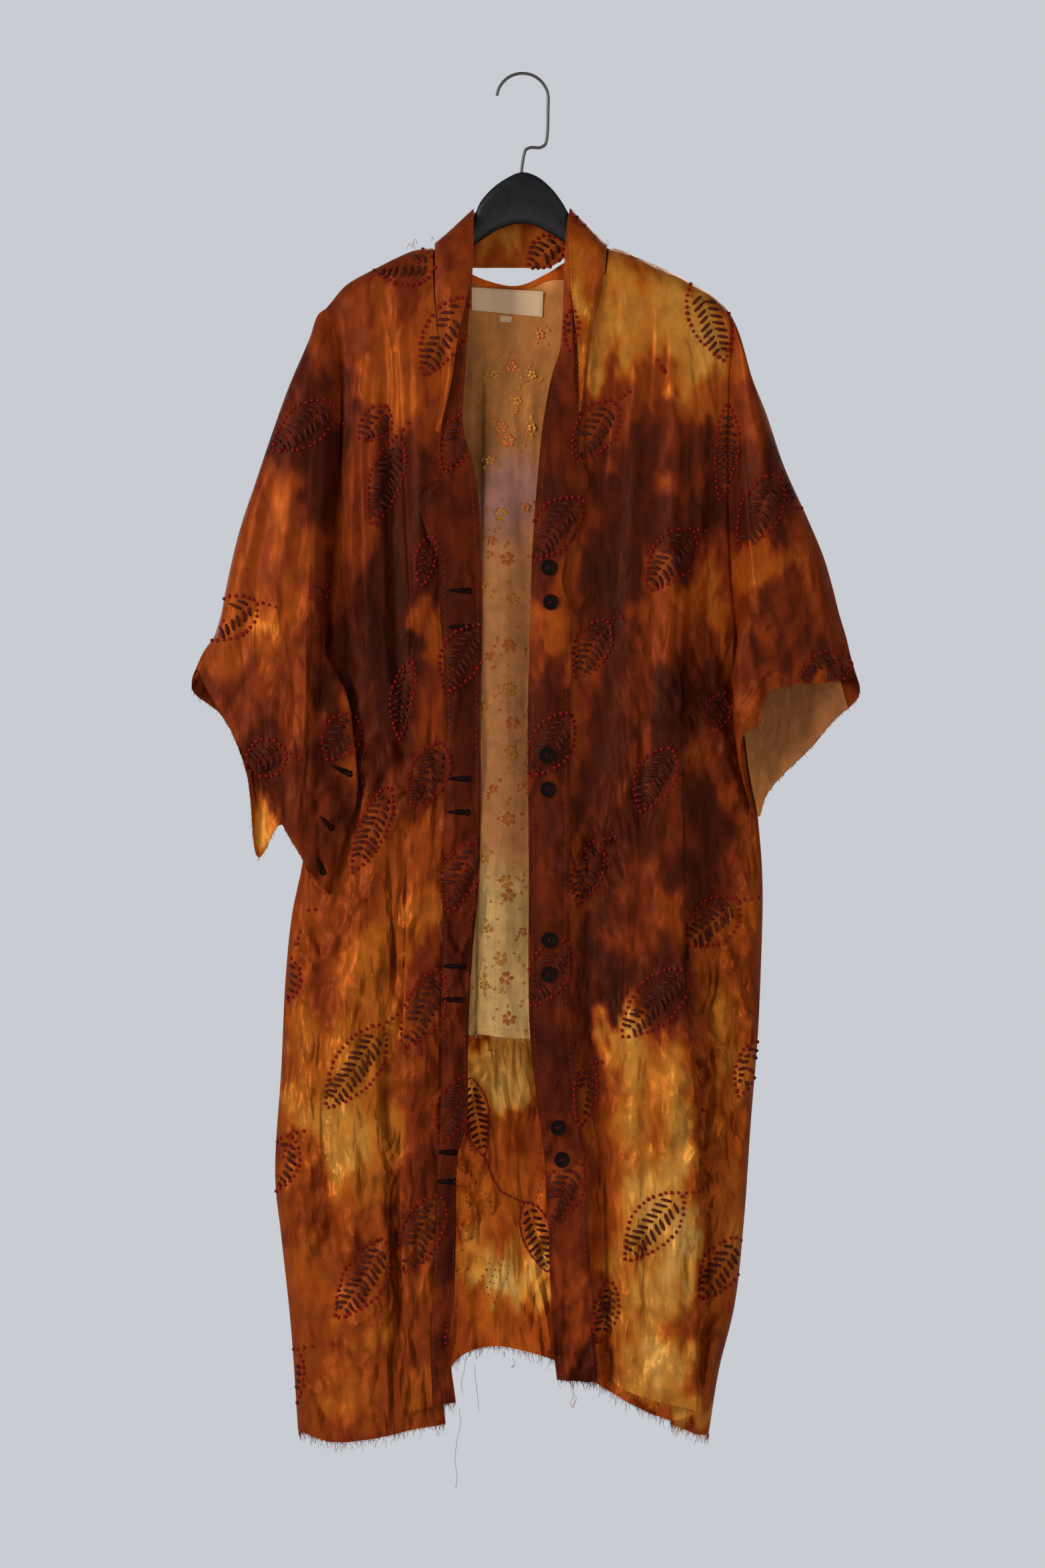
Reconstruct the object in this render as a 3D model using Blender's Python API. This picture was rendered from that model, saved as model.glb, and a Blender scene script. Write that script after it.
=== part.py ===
# A wide silk coat on a plain hanger.
# Sizes are in millimetres. A place is given as (x, drop, front): x to the viewer's right, drop down from the
# inner top of the hook, and front towards the viewer. Sides are the wearer's, so the right has a negative x.
import math

import bmesh
import bpy
import numpy as np
from mathutils import Vector

MM = 0.001
CLOTH = 1.2            # thickness of every cloth wall
SEAM = 0.5             # half the space left between two pieces that are sewn together
ARMHOLE_SEAM = 1.8     # space between a body edge and the sleeve that is sewn to it
ROLL = 20.0            # length over which the cloth rounds over the top of the hanger
FRONT_BIAS = 1.8       # how much closer the rows lie near the top of the front panels
BACK_BIAS = 2.1        # and of the back
FRONT_ROWS = 26
BACK_ROWS = 18
SLEEVE_ROWS = 12
BAND_ROWS = 26
LINING_ROWS = 13

WIRE = 1.5             # radius of the hook wire
HOOK_RADIUS = 25.0     # radius of the hook's arc, at the middle of the wire
HANGER_GAP = 0.8       # space between the hanger and the cloth that rests on it
HANGER_DEPTH = [(60, 7.0), (80, 5.0), (92, 5.0), (130, 8.0), (162, 6.5)]  # distance from the middle, half depth
HANGER_REACH = 162     # length of each arm from the middle
LINING_GAP = 3.0       # from the middle of a sleeve's wall to the middle of its lining
LINING_TOP = 15.3      # how far behind the hook the back lining's top edge lies, just in front of the back
LINING_TURN = 14.0     # length over which the lining comes forward from there
BUTTON = 7.5           # radius of a button
BUTTON_THICK = 2.4
BUTTON_SIDES = 14
BUTTON_GAP = 0.3       # space between a button and the cloth that it is sewn to

# Body edges at the armholes and side seams. The rows run from the shoulder end, past the underarm, to the hem.
RIGHT_SIDE = [  # x, drop, front
    (-189, 225, 0), (-181, 241, 6), (-177, 256, 9), (-174, 301, 9), (-176, 360, 8), (-181, 440, 7),
    (-186, 505, 4), (-190, 545, 0), (-198, 640, 0), (-211, 755, 0), (-222, 810, 0), (-228, 870, 0),
    (-232, 955, 0), (-238, 1061, 0), (-232, 1120, 0), (-223, 1204, 0), (-216, 1305, 0),
]
LEFT_SIDE = [  # x, drop, front
    (194, 223, 0), (201, 240, 6), (201, 264, 9), (199, 303, 9), (198, 378, 8), (199, 440, 7),
    (203, 502, 4), (208, 545, 0), (217, 640, 0), (227, 720, 0), (231, 780, 0), (229, 870, 0),
    (226, 932, 0), (220, 1004, 0), (213, 1104, 0), (204, 1185, 0), (189, 1247, 0), (179, 1309, 0),
]

# Guide lines of the front panels, from the opening edge to the side. Each is rows of x, drop, front.
RIGHT_FRONT = {
    "opening edge": [
        (-86, 167, 20), (-85, 215, 23), (-77, 279, 25), (-62, 346, 25), (-48, 405, 26), (-44, 480, 27),
        (-44, 700, 28), (-51, 845, 28), (-57, 1009, 29), (-65, 1055, 29), (-68, 1175, 30), (-71, 1225, 30),
        (-67, 1276, 30),
    ],
    "strip": [
        (-103, 169, 20), (-103, 215, 23), (-98, 279, 26), (-90, 346, 26), (-82, 410, 27), (-80, 500, 28),
        (-80, 620, 31), (-82, 760, 33), (-82, 1000, 34), (-86, 1150, 35), (-84, 1279, 35),
    ],
    "fold edge": [
        (-118, 175, 20), (-119, 215, 23), (-117, 279, 27), (-113, 346, 27), (-110, 430, 28), (-108, 520, 31),
        (-107, 600, 35), (-108, 700, 38), (-111, 790, 38), (-114, 900, 38), (-116, 1000, 39), (-117, 1100, 39),
        (-112, 1200, 39), (-105, 1285, 39),
    ],
    "fold return": [
        (-123, 178, 20), (-124, 215, 22), (-122, 279, 24), (-119, 346, 22), (-115, 430, 21), (-108, 520, 21),
        (-98, 600, 24), (-91, 700, 26), (-91, 800, 26), (-92, 900, 26), (-92, 1000, 26), (-90, 1100, 26),
        (-84, 1200, 26), (-74, 1296, 26),
    ],
    "fold back": [
        (-128, 180, 19), (-131, 215, 20), (-132, 279, 20), (-131, 346, 17), (-128, 430, 15), (-123, 520, 14),
        (-116, 600, 15), (-113, 700, 17), (-114, 800, 17), (-117, 900, 17), (-118, 1000, 18), (-116, 1100, 18),
        (-112, 1200, 18), (-104, 1303, 18),
    ],
    "side middle": [
        (-142, 187, 18), (-147, 220, 20), (-150, 279, 22), (-150, 346, 23), (-148, 430, 25), (-146, 520, 21),
        (-144, 600, 17), (-146, 700, 16), (-150, 800, 24), (-152, 900, 28), (-154, 1000, 27), (-154, 1100, 29),
        (-150, 1200, 29), (-142, 1311, 27),
    ],
    "side outer": [
        (-170, 203, 14), (-166, 228, 16), (-163, 279, 17), (-162, 346, 15), (-164, 430, 13), (-167, 520, 9),
        (-170, 600, 5), (-176, 700, 5), (-184, 790, 10), (-192, 880, 19), (-196, 960, 22), (-196, 1060, 22),
        (-190, 1180, 22), (-184, 1315, 19),
    ],
}
LEFT_FRONT = {
    "opening edge": [
        (83, 167, 20), (80, 192, 22), (75, 218, 22), (61, 279, 25), (38, 346, 25), (22, 400, 26.4),
        (15, 468, 27.8), (11, 600, 28.9), (12, 880, 28.9), (15, 940, 28.9), (26, 1032, 29.9), (32, 1140, 29.9),
        (35, 1215, 29.9), (38, 1248, 29.9),
    ],
    "under band": [
        (98, 171, 20), (94, 215, 23), (84, 279, 26), (74, 346, 26), (62, 420, 27), (50, 500, 27),
        (46, 600, 27), (46, 880, 26), (51, 950, 25), (59, 1010, 24), (65, 1090, 22), (70, 1160, 21),
        (73, 1250, 21),
    ],
    "recess": [
        (111, 176, 20), (108, 215, 23), (102, 279, 26), (94, 346, 26), (84, 420, 27), (72, 500, 26),
        (66, 600, 25), (64, 760, 22), (64, 880, 20), (68, 950, 18), (73, 1010, 17), (77, 1090, 16),
        (80, 1160, 16), (82, 1252, 17),
    ],
    "panel rise": [
        (124, 182, 20), (121, 215, 23), (118, 279, 26), (112, 346, 26), (104, 420, 28), (96, 500, 29),
        (90, 600, 29), (86, 760, 28), (84, 880, 27), (85, 950, 27), (87, 1010, 28), (89, 1090, 30),
        (91, 1160, 30), (94, 1262, 30),
    ],
    "panel middle": [
        (138, 189, 19), (138, 220, 22), (138, 279, 26), (136, 346, 27), (132, 420, 29), (126, 500, 31),
        (122, 600, 33), (120, 760, 36), (120, 880, 38), (122, 950, 39), (124, 1010, 40), (126, 1090, 41),
        (126, 1160, 41), (128, 1274, 40),
    ],
    "fold edge": [
        (152, 195, 18), (156, 225, 20), (158, 279, 23), (158, 346, 24), (156, 420, 25), (153, 500, 28),
        (152, 600, 32), (153, 700, 35), (155, 800, 38), (156, 880, 38), (163, 945, 39), (168, 1010, 39),
        (169, 1070, 39), (168, 1147, 39), (166, 1230, 39), (167, 1285, 39),
    ],
    "fold return": [
        (162, 201, 17), (168, 232, 18), (172, 279, 20), (172, 346, 18), (170, 420, 17), (164, 500, 18),
        (154, 600, 21), (146, 700, 24), (145, 800, 25), (145, 880, 25), (148, 945, 26), (150, 1010, 26),
        (150, 1070, 26), (148, 1147, 26), (146, 1230, 26), (142, 1296, 26),
    ],
    "fold back": [
        (169, 205, 16), (178, 236, 15), (183, 279, 16), (183, 346, 14), (181, 420, 13), (178, 500, 12),
        (172, 600, 12), (169, 700, 15), (170, 800, 16), (172, 880, 16), (178, 945, 16), (180, 1010, 17),
        (180, 1070, 17), (177, 1147, 17), (171, 1230, 17), (158, 1304, 17),
    ],
    "side outer": [
        (180, 211, 12), (190, 242, 12), (192, 279, 12), (191, 346, 11), (190, 420, 10), (190, 500, 7),
        (194, 600, 5), (202, 700, 10), (206, 800, 16), (205, 880, 20), (204, 945, 20), (202, 1010, 20),
        (198, 1070, 20), (192, 1147, 20), (182, 1230, 20), (168, 1308, 17),
    ],
}

# Back panel: where each guide line starts and ends, and how far behind the hook it lies at four heights. The
# lines with no top drop start on the shoulder line, and the others at the neckline.
BACK_GUIDES = [  # top x, top drop, hem x, hem drop, back at top, at 500, at 900, at hem
    (-166, None, -184, 1311, 15, 15, 17, 15),
    (-140, None, -150, 1306, 18, 21, 24, 22),
    (-112, None, -118, 1297, 19, 18, 17, 17),
    (-90, None, -92, 1278, 17, 20, 21, 21),
    (-62, 184, -60, 1236, 17, 19, 18, 18),
    (-34, 197, -28, 1226, 17, 17, 20, 20),
    (-5, 202, 4, 1231, 17, 18, 17, 17),
    (22, 191, 32, 1240, 17, 17, 21, 21),
    (46, 177, 62, 1256, 17, 20, 18, 18),
    (84, None, 96, 1277, 17, 18, 22, 22),
    (116, None, 122, 1290, 19, 21, 17, 17),
    (145, None, 146, 1299, 18, 18, 22, 20),
    (175, None, 166, 1305, 15, 15, 17, 15),
]

# Collar ends: guide lines from the outer seam to the free edge.
RIGHT_COLLAR = [  # x, drop, front
    [(-84.3, 163, 20), (-84, 190, 23.8), (-83.6, 214, 24.8), (-80.5, 246, 26), (-77.5, 285, 27.4),
     (-80, 325, 29.5), (-84, 344, 32)],
    [(-72, 152, 18), (-74, 185, 27), (-72, 214, 31), (-70, 246, 34), (-70, 285, 35), (-76, 325, 35),
     (-82, 345, 35)],
    [(-60, 141, 14), (-61, 180, 25), (-60, 214, 30), (-62, 250, 34), (-68, 295, 35), (-77, 334, 35),
     (-81, 346, 35)],
    [(-47, 129, 12), (-47, 160, 19), (-48, 190, 25), (-54, 218, 30), (-62, 253, 34), (-69, 286, 35),
     (-77, 336, 35), (-80, 347, 35)],
]
LEFT_COLLAR = [  # x, drop, front
    [(81.3, 163.5, 20), (79, 192, 23.7), (74.5, 218, 24.2), (68, 246, 25.8), (63, 279, 27.4), (59, 316, 31),
     (57, 325, 32)],
    [(74, 157, 18), (73, 190, 27), (66, 220, 31), (63, 246, 34), (60, 279, 35), (57, 316, 34), (56, 325, 34)],
    [(60, 143, 14), (61, 185, 25), (58, 220, 31), (57, 250, 34), (57, 285, 35), (56, 318, 34), (55, 326, 34)],
    [(46, 129, 12), (43, 142, 15), (44, 161, 19), (45, 187, 24), (48, 221, 30), (51, 246, 34),
     (53, 272, 35), (54, 305, 35), (54, 327, 34)],
]

# Front bands with their lapels: guide lines from the opening edge to the free outer edge.
RIGHT_BAND = [  # x, drop, front
    [(-47, 152, 12), (-48, 190, 18), (-52, 240, 25), (-55, 288, 28), (-57, 341, 28), (-47, 377, 28),
     (-42, 413, 28), (-40, 468, 28.7), (-39, 540, 29), (-41, 620, 29.4), (-40, 700, 29.6), (-42, 780, 29.6),
     (-48, 845, 29.6), (-52, 922, 30), (-54, 1009, 30.6), (-62, 1040, 31), (-64, 1118, 31.4), (-66, 1175, 31.6),
     (-70, 1222, 31.7), (-64, 1276, 31.7)],
    [(-52, 155, 13), (-55, 190, 20), (-60, 240, 27), (-64, 288, 30), (-68, 341, 31), (-66, 377, 31),
     (-68, 413, 34), (-60, 468, 34), (-58, 540, 34), (-58, 620, 35), (-58, 700, 35), (-60, 780, 35),
     (-62, 845, 35), (-66, 922, 36), (-68, 1009, 37), (-72, 1050, 37), (-74, 1118, 38), (-76, 1175, 38),
     (-78, 1222, 38), (-75, 1277, 38)],
    [(-57, 160, 14), (-61, 192, 22), (-67, 240, 28), (-73, 288, 30), (-77, 341, 31), (-75, 383, 31),
     (-98, 410, 36), (-90, 446, 37), (-81, 466, 36), (-80, 505, 34), (-74, 600, 35), (-75, 695, 35),
     (-76, 780, 36), (-77, 845, 36), (-78, 915, 37), (-79, 1009, 38), (-82, 1060, 39), (-84, 1118, 39),
     (-86, 1175, 39), (-88, 1222, 39), (-86, 1279, 39)],
]
LEFT_BAND = [  # x, drop, front
    [(42, 146, 12), (40, 190, 20), (38, 246, 27), (36, 267, 28), (29, 288, 28), (20, 335, 28), (13, 405, 28),
     (9, 468, 28.7), (7, 540, 29.2), (5, 620, 29.6), (6, 750, 29.7), (6, 890, 29.7), (8, 935, 29.8),
     (14, 989, 30.4), (20, 1032, 30.8), (24, 1089, 30.8), (27, 1170, 30.8), (30, 1225, 30.8), (33, 1254, 30.8)],
    [(45, 152, 13), (45, 200, 24), (46, 246, 29), (45, 280, 30), (41, 310, 30), (40, 350, 31), (38, 405, 33),
     (30, 468, 33), (27, 540, 34), (26, 620, 34), (26, 750, 34), (26, 890, 34), (29, 945, 34),
     (35, 1000, 33), (40, 1045, 33), (44, 1100, 33), (48, 1170, 33), (51, 1225, 33), (53, 1256, 33)],
    [(49, 160, 14), (50, 210, 25), (52, 255, 29), (54, 285, 30), (56, 320, 30), (55, 370, 31), (63, 389, 33),
     (57, 418, 34), (48, 444, 34), (40, 470, 34), (38, 490, 34), (44, 512, 34), (46, 560, 34), (46, 650, 34),
     (46, 890, 34), (50, 947, 33), (56, 1009, 32), (61, 1089, 31), (66, 1165, 31), (71, 1233, 31),
     (72, 1257, 31)],
]

# Back collar: the standing band behind the neck, from the right side of the neck to the left.
BACK_COLLAR = [  # x, top drop, bottom drop, back at top, back at bottom
    (-84, 162, 165.5, 0.8, 5), (-71, 151, 174, 1, 11), (-60, 141, 184, 2, 12), (-46, 132, 185, 8, 13),
    (-24, 131, 185, 12, 13), (0, 130, 185, 12, 13), (24, 131, 185, 12, 13), (45, 134, 173, 10, 13),
    (57, 141, 169, 2, 11), (68, 152, 165, 1, 9), (80, 162.5, 164.5, 0.8, 4),
]

# Back lining: guide lines start at the neckline. The middle stands forward as a stitched pleat.
LINING_GUIDES = [  # top x, top drop, hem x, hem drop, back at top, back lower down
    (-112, 214, -112, 930, 12, 12), (-84, 206, -84, 927, 12, 12), (-56, 200, -52, 925, 12, 12),
    (-38, 203, -46, 925, 12, 8), (-33, 205, -43, 924, 12, 4), (-16, 209, -20, 927, 11.8, 4),
    (-8, 209, -6, 928, 12, 7), (8, 205, 12, 929, 12, 9), (28, 197, 34, 930, 12, 12), (60, 199, 70, 932, 12, 12),
    (92, 208, 104, 934, 12, 12),
]

# Sleeves: guide lines from the armhole to the cuff, first the front face from the top fold to the bottom fold,
# then the back face up to the top fold. The armhole row of each comes from the body edge at its drop.
RIGHT_SLEEVE = [  # armhole drop, armhole side (1 front, -1 back), then rows of x, drop, front
    (225, 0, [(-197, 231, 0), (-205, 254, 0), (-225, 301, 0), (-241, 346, 0), (-257, 394, 0), (-273, 442, 0),
              (-285, 493, 0), (-294, 536, 0), (-307, 556, 0), (-314, 573, 2)]),
    (243, 1, [(-193, 250, 14), (-215, 300, 19), (-240, 360, 21), (-264, 430, 22), (-281, 500, 20),
              (-303, 592, 18)]),
    (290, 1, [(-186, 296, 20), (-198, 330, 27), (-225, 420, 30), (-252, 520, 30), (-279, 632, 26)]),
    (350, 1, [(-187, 354, 24), (-198, 390, 31), (-218, 480, 34), (-240, 580, 34), (-262, 664, 30)]),
    (410, 1, [(-189, 414, 25), (-197, 450, 32), (-210, 540, 35), (-226, 630, 36), (-246, 686, 33)]),
    (465, 1, [(-191, 470, 24), (-196, 500, 31), (-203, 580, 35), (-212, 660, 37), (-231, 720, 34)]),
    (510, 1, [(-192, 514, 21), (-194, 540, 29), (-197, 610, 34), (-202, 690, 36), (-212, 753, 33)]),
    (535, 1, [(-190, 545, 17), (-190, 570, 25), (-191, 620, 31), (-193, 680, 32), (-194, 730, 31),
              (-195, 779, 29)]),
    (545, 0, [(-196, 552, 9), (-186, 566, 18), (-170, 594, 21), (-162, 640, 21), (-159, 695, 20), (-168, 730, 19),
              (-178, 762, 18), (-187, 788, 17)]),
    (530, -1, [(-197, 548, 2), (-196, 570, 9), (-194, 610, 12), (-193, 680, 12), (-196, 740, 11),
               (-198, 782, 12)]),
    (480, -1, [(-203, 510, -12), (-214, 600, -9), (-222, 670, -4), (-232, 722, 4)]),
    (410, -1, [(-200, 430, -16), (-222, 540, -16), (-243, 660, -8), (-254, 754, 4)]),
    (350, -1, [(-198, 366, -17), (-226, 460, -17), (-252, 590, -11), (-266, 672, -2)]),
    (290, -1, [(-194, 303, -16), (-222, 380, -17), (-258, 500, -13), (-289, 618, -4)]),
    (243, -1, [(-196, 256, -11), (-220, 310, -13), (-262, 430, -12), (-286, 520, -9), (-318, 592, -2)]),
]
LEFT_SLEEVE = [  # armhole drop, armhole side (1 front, -1 back), then rows of x, drop, front
    (223, 0, [(201, 232, 0), (208, 248, 0), (214, 276, 0), (223, 298, 0), (234, 325, 0), (252, 378, 0),
              (275, 429, 0), (290, 465, 0), (299, 496, 0), (305, 520, 0), (311, 540, 0), (316, 562, 0),
              (322, 583, 2)]),
    (241, 1, [(208, 252, 14), (222, 300, 19), (243, 370, 22), (272, 450, 22), (296, 530, 19), (305, 584, 15)]),
    (285, 1, [(211, 294, 20), (222, 340, 27), (244, 420, 30), (268, 500, 28), (284, 586, 22)]),
    (340, 1, [(211, 346, 24), (220, 390, 31), (238, 460, 34), (256, 530, 32), (266, 587, 26)]),
    (400, 1, [(211, 405, 26), (218, 440, 33), (230, 500, 35), (242, 550, 33), (250, 590, 28)]),
    (455, 1, [(212, 460, 26), (218, 490, 34), (225, 530, 35), (230, 565, 33), (236, 594, 30)]),
    (500, 1, [(213, 504, 24), (216, 525, 33), (219, 560, 37), (224, 600, 38), (227, 624, 36)]),
    (530, 1, [(212, 533, 18), (210, 555, 28), (210, 590, 36), (211, 620, 37), (211, 638, 35)]),
    (545, 0, [(214, 550, 8), (210, 566, 15), (206, 592, 18), (204, 620, 20), (206, 640, 20), (211, 674, 18),
              (222, 712, 12)]),
    (525, -1, [(214, 546, 0), (217, 600, 4), (221, 660, 5), (226, 714, 5)]),
    (470, -1, [(216, 492, -11), (224, 560, -12), (230, 640, -6), (236, 692, 0)]),
    (410, -1, [(214, 430, -16), (232, 520, -16), (246, 600, -9), (254, 671, -1)]),
    (350, -1, [(213, 366, -17), (236, 460, -17), (262, 570, -11), (276, 650, -1)]),
    (290, -1, [(212, 303, -16), (232, 370, -17), (268, 490, -13), (300, 622, -1)]),
    (241, -1, [(208, 256, -11), (226, 306, -13), (258, 410, -12), (300, 530, -7), (324, 598, 0)]),
]

# Soft vertical folds that stand forward (or back, where the rise is negative) from the panels.
FRONT_FOLDS = [  # top x, top drop, foot x, foot drop, half width, rise
    (-146, 210, -128, 560, 7, 5), (-132, 330, -120, 640, 6, -4), (-160, 300, -146, 620, 6, 4),
    (-101, 240, -96, 520, 6, 4), (-126, 720, -136, 1100, 7, -4), (-170, 860, -160, 1290, 9, 5),
    (-204, 800, -206, 1240, 8, 4), (-142, 900, -128, 1200, 7, 4), (-188, 980, -176, 1300, 7, -4),
    (112, 250, 98, 640, 7, 4), (136, 260, 112, 760, 7, -4), (150, 300, 134, 700, 7, 5),
    (176, 280, 168, 560, 6, 4), (96, 620, 104, 1000, 7, 4), (128, 860, 112, 1250, 8, -5),
    (148, 920, 142, 1270, 7, 4), (190, 820, 186, 1240, 7, 4), (208, 860, 196, 1150, 6, -4),
]
BACK_FOLDS = [  # top x, top drop, foot x, foot drop, half width, rise
    (-150, 260, -172, 1180, 12, 6), (-98, 300, -112, 1240, 12, 6), (-46, 420, -52, 1210, 12, 5),
    (8, 320, 2, 1200, 13, 6), (56, 380, 64, 1230, 12, 5), (104, 280, 116, 1250, 12, 6),
    (158, 300, 168, 1180, 12, 5), (-20, 700, -26, 1220, 9, -4), (134, 640, 140, 1270, 9, -4),
]
SLEEVE_FOLDS = [  # top x, top drop, foot x, foot drop, half width, rise
    (-208, 290, -246, 600, 9, 5), (-200, 400, -214, 700, 7, 4), (-238, 380, -276, 590, 8, -4),
    (220, 300, 262, 560, 9, 5), (216, 400, 234, 580, 7, 4), (248, 400, 292, 560, 8, -4),
]

# Button middles on the left band, from the top. The pairs are about 33 mm apart.
BUTTONS = [  # x, drop
    (25.0, 475.5), (27.0, 508.8), (23.0, 655.4), (24.3, 688.0),
    (25.6, 832.6), (25.0, 865.3), (34.0, 1012.5), (37.8, 1043.2),
]

CUFF_BUTTON = (-253.0, 728.0)  # x and drop, behind the right cuff's pointed flap

COLOURS = {  # red, green, blue, roughness, metallic
    "silk": (0.42, 0.12, 0.03, 0.5, 0.0),
    "band": (0.26, 0.06, 0.02, 0.5, 0.0),
    "collar": (0.50, 0.20, 0.04, 0.5, 0.0),
    "lining": (0.72, 0.42, 0.22, 0.6, 0.0),
    "label": (0.75, 0.66, 0.50, 0.8, 0.0),
    "button": (0.05, 0.015, 0.015, 0.35, 0.0),
    "hanger": (0.015, 0.017, 0.02, 0.45, 0.0),
    "wire": (0.35, 0.33, 0.32, 0.3, 1.0),
}


def material(name):
    made = bpy.data.materials.get(name)
    if made is None:
        red, green, blue, roughness, metallic = COLOURS[name]
        made = bpy.data.materials.new(name)
        made.use_nodes = True
        shader = made.node_tree.nodes["Principled BSDF"]
        shader.inputs["Base Color"].default_value = (red, green, blue, 1.0)
        shader.inputs["Roughness"].default_value = roughness
        shader.inputs["Metallic"].default_value = metallic
        made.diffuse_color = (red, green, blue, 1.0)
    return made


def world(points):
    """Places given as x, drop, front in millimetres, as x, y, z in metres."""
    points = np.asarray(points, dtype=float)
    return np.stack([points[..., 0], -points[..., 2], -points[..., 1]], axis=-1) * MM


def smooth(points, per, closed=False):
    """A smooth curve through the points, with per steps between each two. It works on the first axis."""
    points = np.asarray(points, dtype=float)
    if closed:
        points = np.concatenate([points[-1:], points, points[:2]])
    span = np.linalg.norm(np.diff(points, axis=0), axis=-1, keepdims=True) ** 0.5 + 1e-6
    slope = np.diff(points, axis=0) / span
    inner = (slope[:-1] * span[1:] + slope[1:] * span[:-1]) / (span[1:] + span[:-1])
    tangent = np.concatenate([slope[:1], inner, slope[-1:]])
    first, last = (1, len(points) - 2) if closed else (0, len(points) - 1)
    made = []
    for k in range(first, last):
        for u in np.arange(per) / per:
            here = (2 * u**3 - 3 * u**2 + 1) * points[k] + (3 * u**2 - 2 * u**3) * points[k + 1]
            lean = (u**3 - 2 * u**2 + u) * tangent[k] + (u**3 - u**2) * tangent[k + 1]
            made.append(here + lean * span[k])
    if not closed:
        made.append(points[-1])
    return np.array(made)


def even_steps(rows, steps, bias=1.0):
    """Points along a smooth curve through the rows, closer together near its start where bias is over 1."""
    dense = smooth(rows, 16)
    length = np.concatenate([[0], np.cumsum(np.linalg.norm(np.diff(dense, axis=0), axis=-1))])
    wanted = (np.arange(steps + 1) / steps) ** bias * length[-1]
    return np.stack([np.interp(wanted, length, dense[:, axis]) for axis in range(3)], axis=-1)


def rounded_top(line, top=SEAM):
    """The line's front value grows from the shoulder seam as the cloth rounds over the hanger."""
    length = np.concatenate([[0], np.cumsum(np.linalg.norm(np.diff(line[:, :2], axis=0), axis=-1))])
    share = np.sqrt(1 - (1 - np.clip(length / ROLL, 0, 1)) ** 2)
    made = line.copy()
    made[:, 2] = np.sign(line[:, 2]) * top + line[:, 2] * share * (1 - top / 20)
    return made


def folds(points, table):
    """How far the folds of the table lift each point forward."""
    lift = np.zeros(points.shape[:-1])
    for top_x, top_drop, foot_x, foot_drop, half_width, rise in table:
        along = np.clip((points[..., 1] - top_drop) / (foot_drop - top_drop), 0, 1)
        middle = top_x + along * (foot_x - top_x)
        lift += rise * np.sin(math.pi * along) ** 0.8 * np.exp(-(((points[..., 0] - middle) / half_width) ** 2))
    return lift


def mesh_object(name, colour, points, faces, flat=False):
    mesh = bpy.data.meshes.new(name)
    mesh.from_pydata([tuple(point) for point in points], [], faces)
    edit = bmesh.new()
    edit.from_mesh(mesh)
    bmesh.ops.recalc_face_normals(edit, faces=edit.faces)
    edit.to_mesh(mesh)
    edit.free()
    if not flat:
        mesh.shade_smooth()
        mesh.set_sharp_from_angle(angle=math.radians(60))
    mesh.materials.append(material(colour))
    made = bpy.data.objects.new(name, mesh)
    bpy.context.scene.collection.objects.link(made)
    return made


def normals(grid, closed):
    """Unit normals of a grid of points, in x, drop, front."""
    if closed:
        across = np.roll(grid, -1, axis=0) - np.roll(grid, 1, axis=0)
    else:
        across = np.gradient(grid, axis=0)
    along = np.gradient(grid, axis=1)
    normal = np.cross(across, along)
    return normal / np.maximum(np.linalg.norm(normal, axis=-1, keepdims=True), 1e-9)


def wall(name, colour, grid, closed=False, flat_sides=(), thick=CLOTH):
    """A closed wall on both sides of a grid of points. flat_sides are edges whose ends stay level in front."""
    normal = normals(grid, closed)
    for side in flat_sides:
        edge = {"first": np.s_[0], "last": np.s_[-1], "top": np.s_[:, 0]}[side]
        level = np.abs(grid[edge][..., 2]) < 2 * SEAM
        normal[edge][level, 2] = 0
        normal[edge] /= np.maximum(np.linalg.norm(normal[edge], axis=-1, keepdims=True), 1e-9)
    columns, rows = grid.shape[:2]
    points = world(np.concatenate([
        (grid + normal * thick / 2).reshape(-1, 3),
        (grid - normal * thick / 2).reshape(-1, 3),
    ]))
    second = columns * rows
    faces = []
    spans = columns if closed else columns - 1
    for i in range(spans):
        j = (i + 1) % columns
        for k in range(rows - 1):
            a, b, c, d = i * rows + k, j * rows + k, j * rows + k + 1, i * rows + k + 1
            faces.append((a, b, c, d))
            faces.append((second + d, second + c, second + b, second + a))
        for k in (0, rows - 1):
            a, b = i * rows + k, j * rows + k
            rim = (a, b, second + b, second + a)
            faces.append(rim[::-1] if k == 0 else rim)
    if not closed:
        for i in (0, columns - 1):
            for k in range(rows - 1):
                a, b = i * rows + k, i * rows + k + 1
                rim = (a, b, second + b, second + a)
                faces.append(rim if i == 0 else rim[::-1])
    return mesh_object(name, colour, points, faces)


def edge_roll(outer, inner, share_across, share_front):
    """A guide line between two others that keeps the edge round."""
    made = outer + (inner - outer) * share_across
    made[:, 2] = outer[:, 2] + (inner[:, 2] - outer[:, 2]) * share_front
    return made


def front_panel(name, guides, side):
    lines = [rounded_top(even_steps(rows, FRONT_ROWS, FRONT_BIAS)) for rows in guides.values()]
    edge = even_steps(side, FRONT_ROWS, FRONT_BIAS)
    edge[:, 2] = edge[:, 2] + SEAM
    lines.append(edge_roll(edge, lines[-1], 0.25, 0.62))
    lines.append(edge)
    grid = smooth(lines, 2)
    near_edge = np.clip(np.arange(len(grid))[::-1] / 3, 0, 1)[:, None]
    grid[..., 2] += folds(grid, FRONT_FOLDS) * near_edge * np.clip(grid[..., 1] / 40 - 5, 0, 1)
    return wall(name, "silk", grid, flat_sides=("last", "top"))


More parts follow.
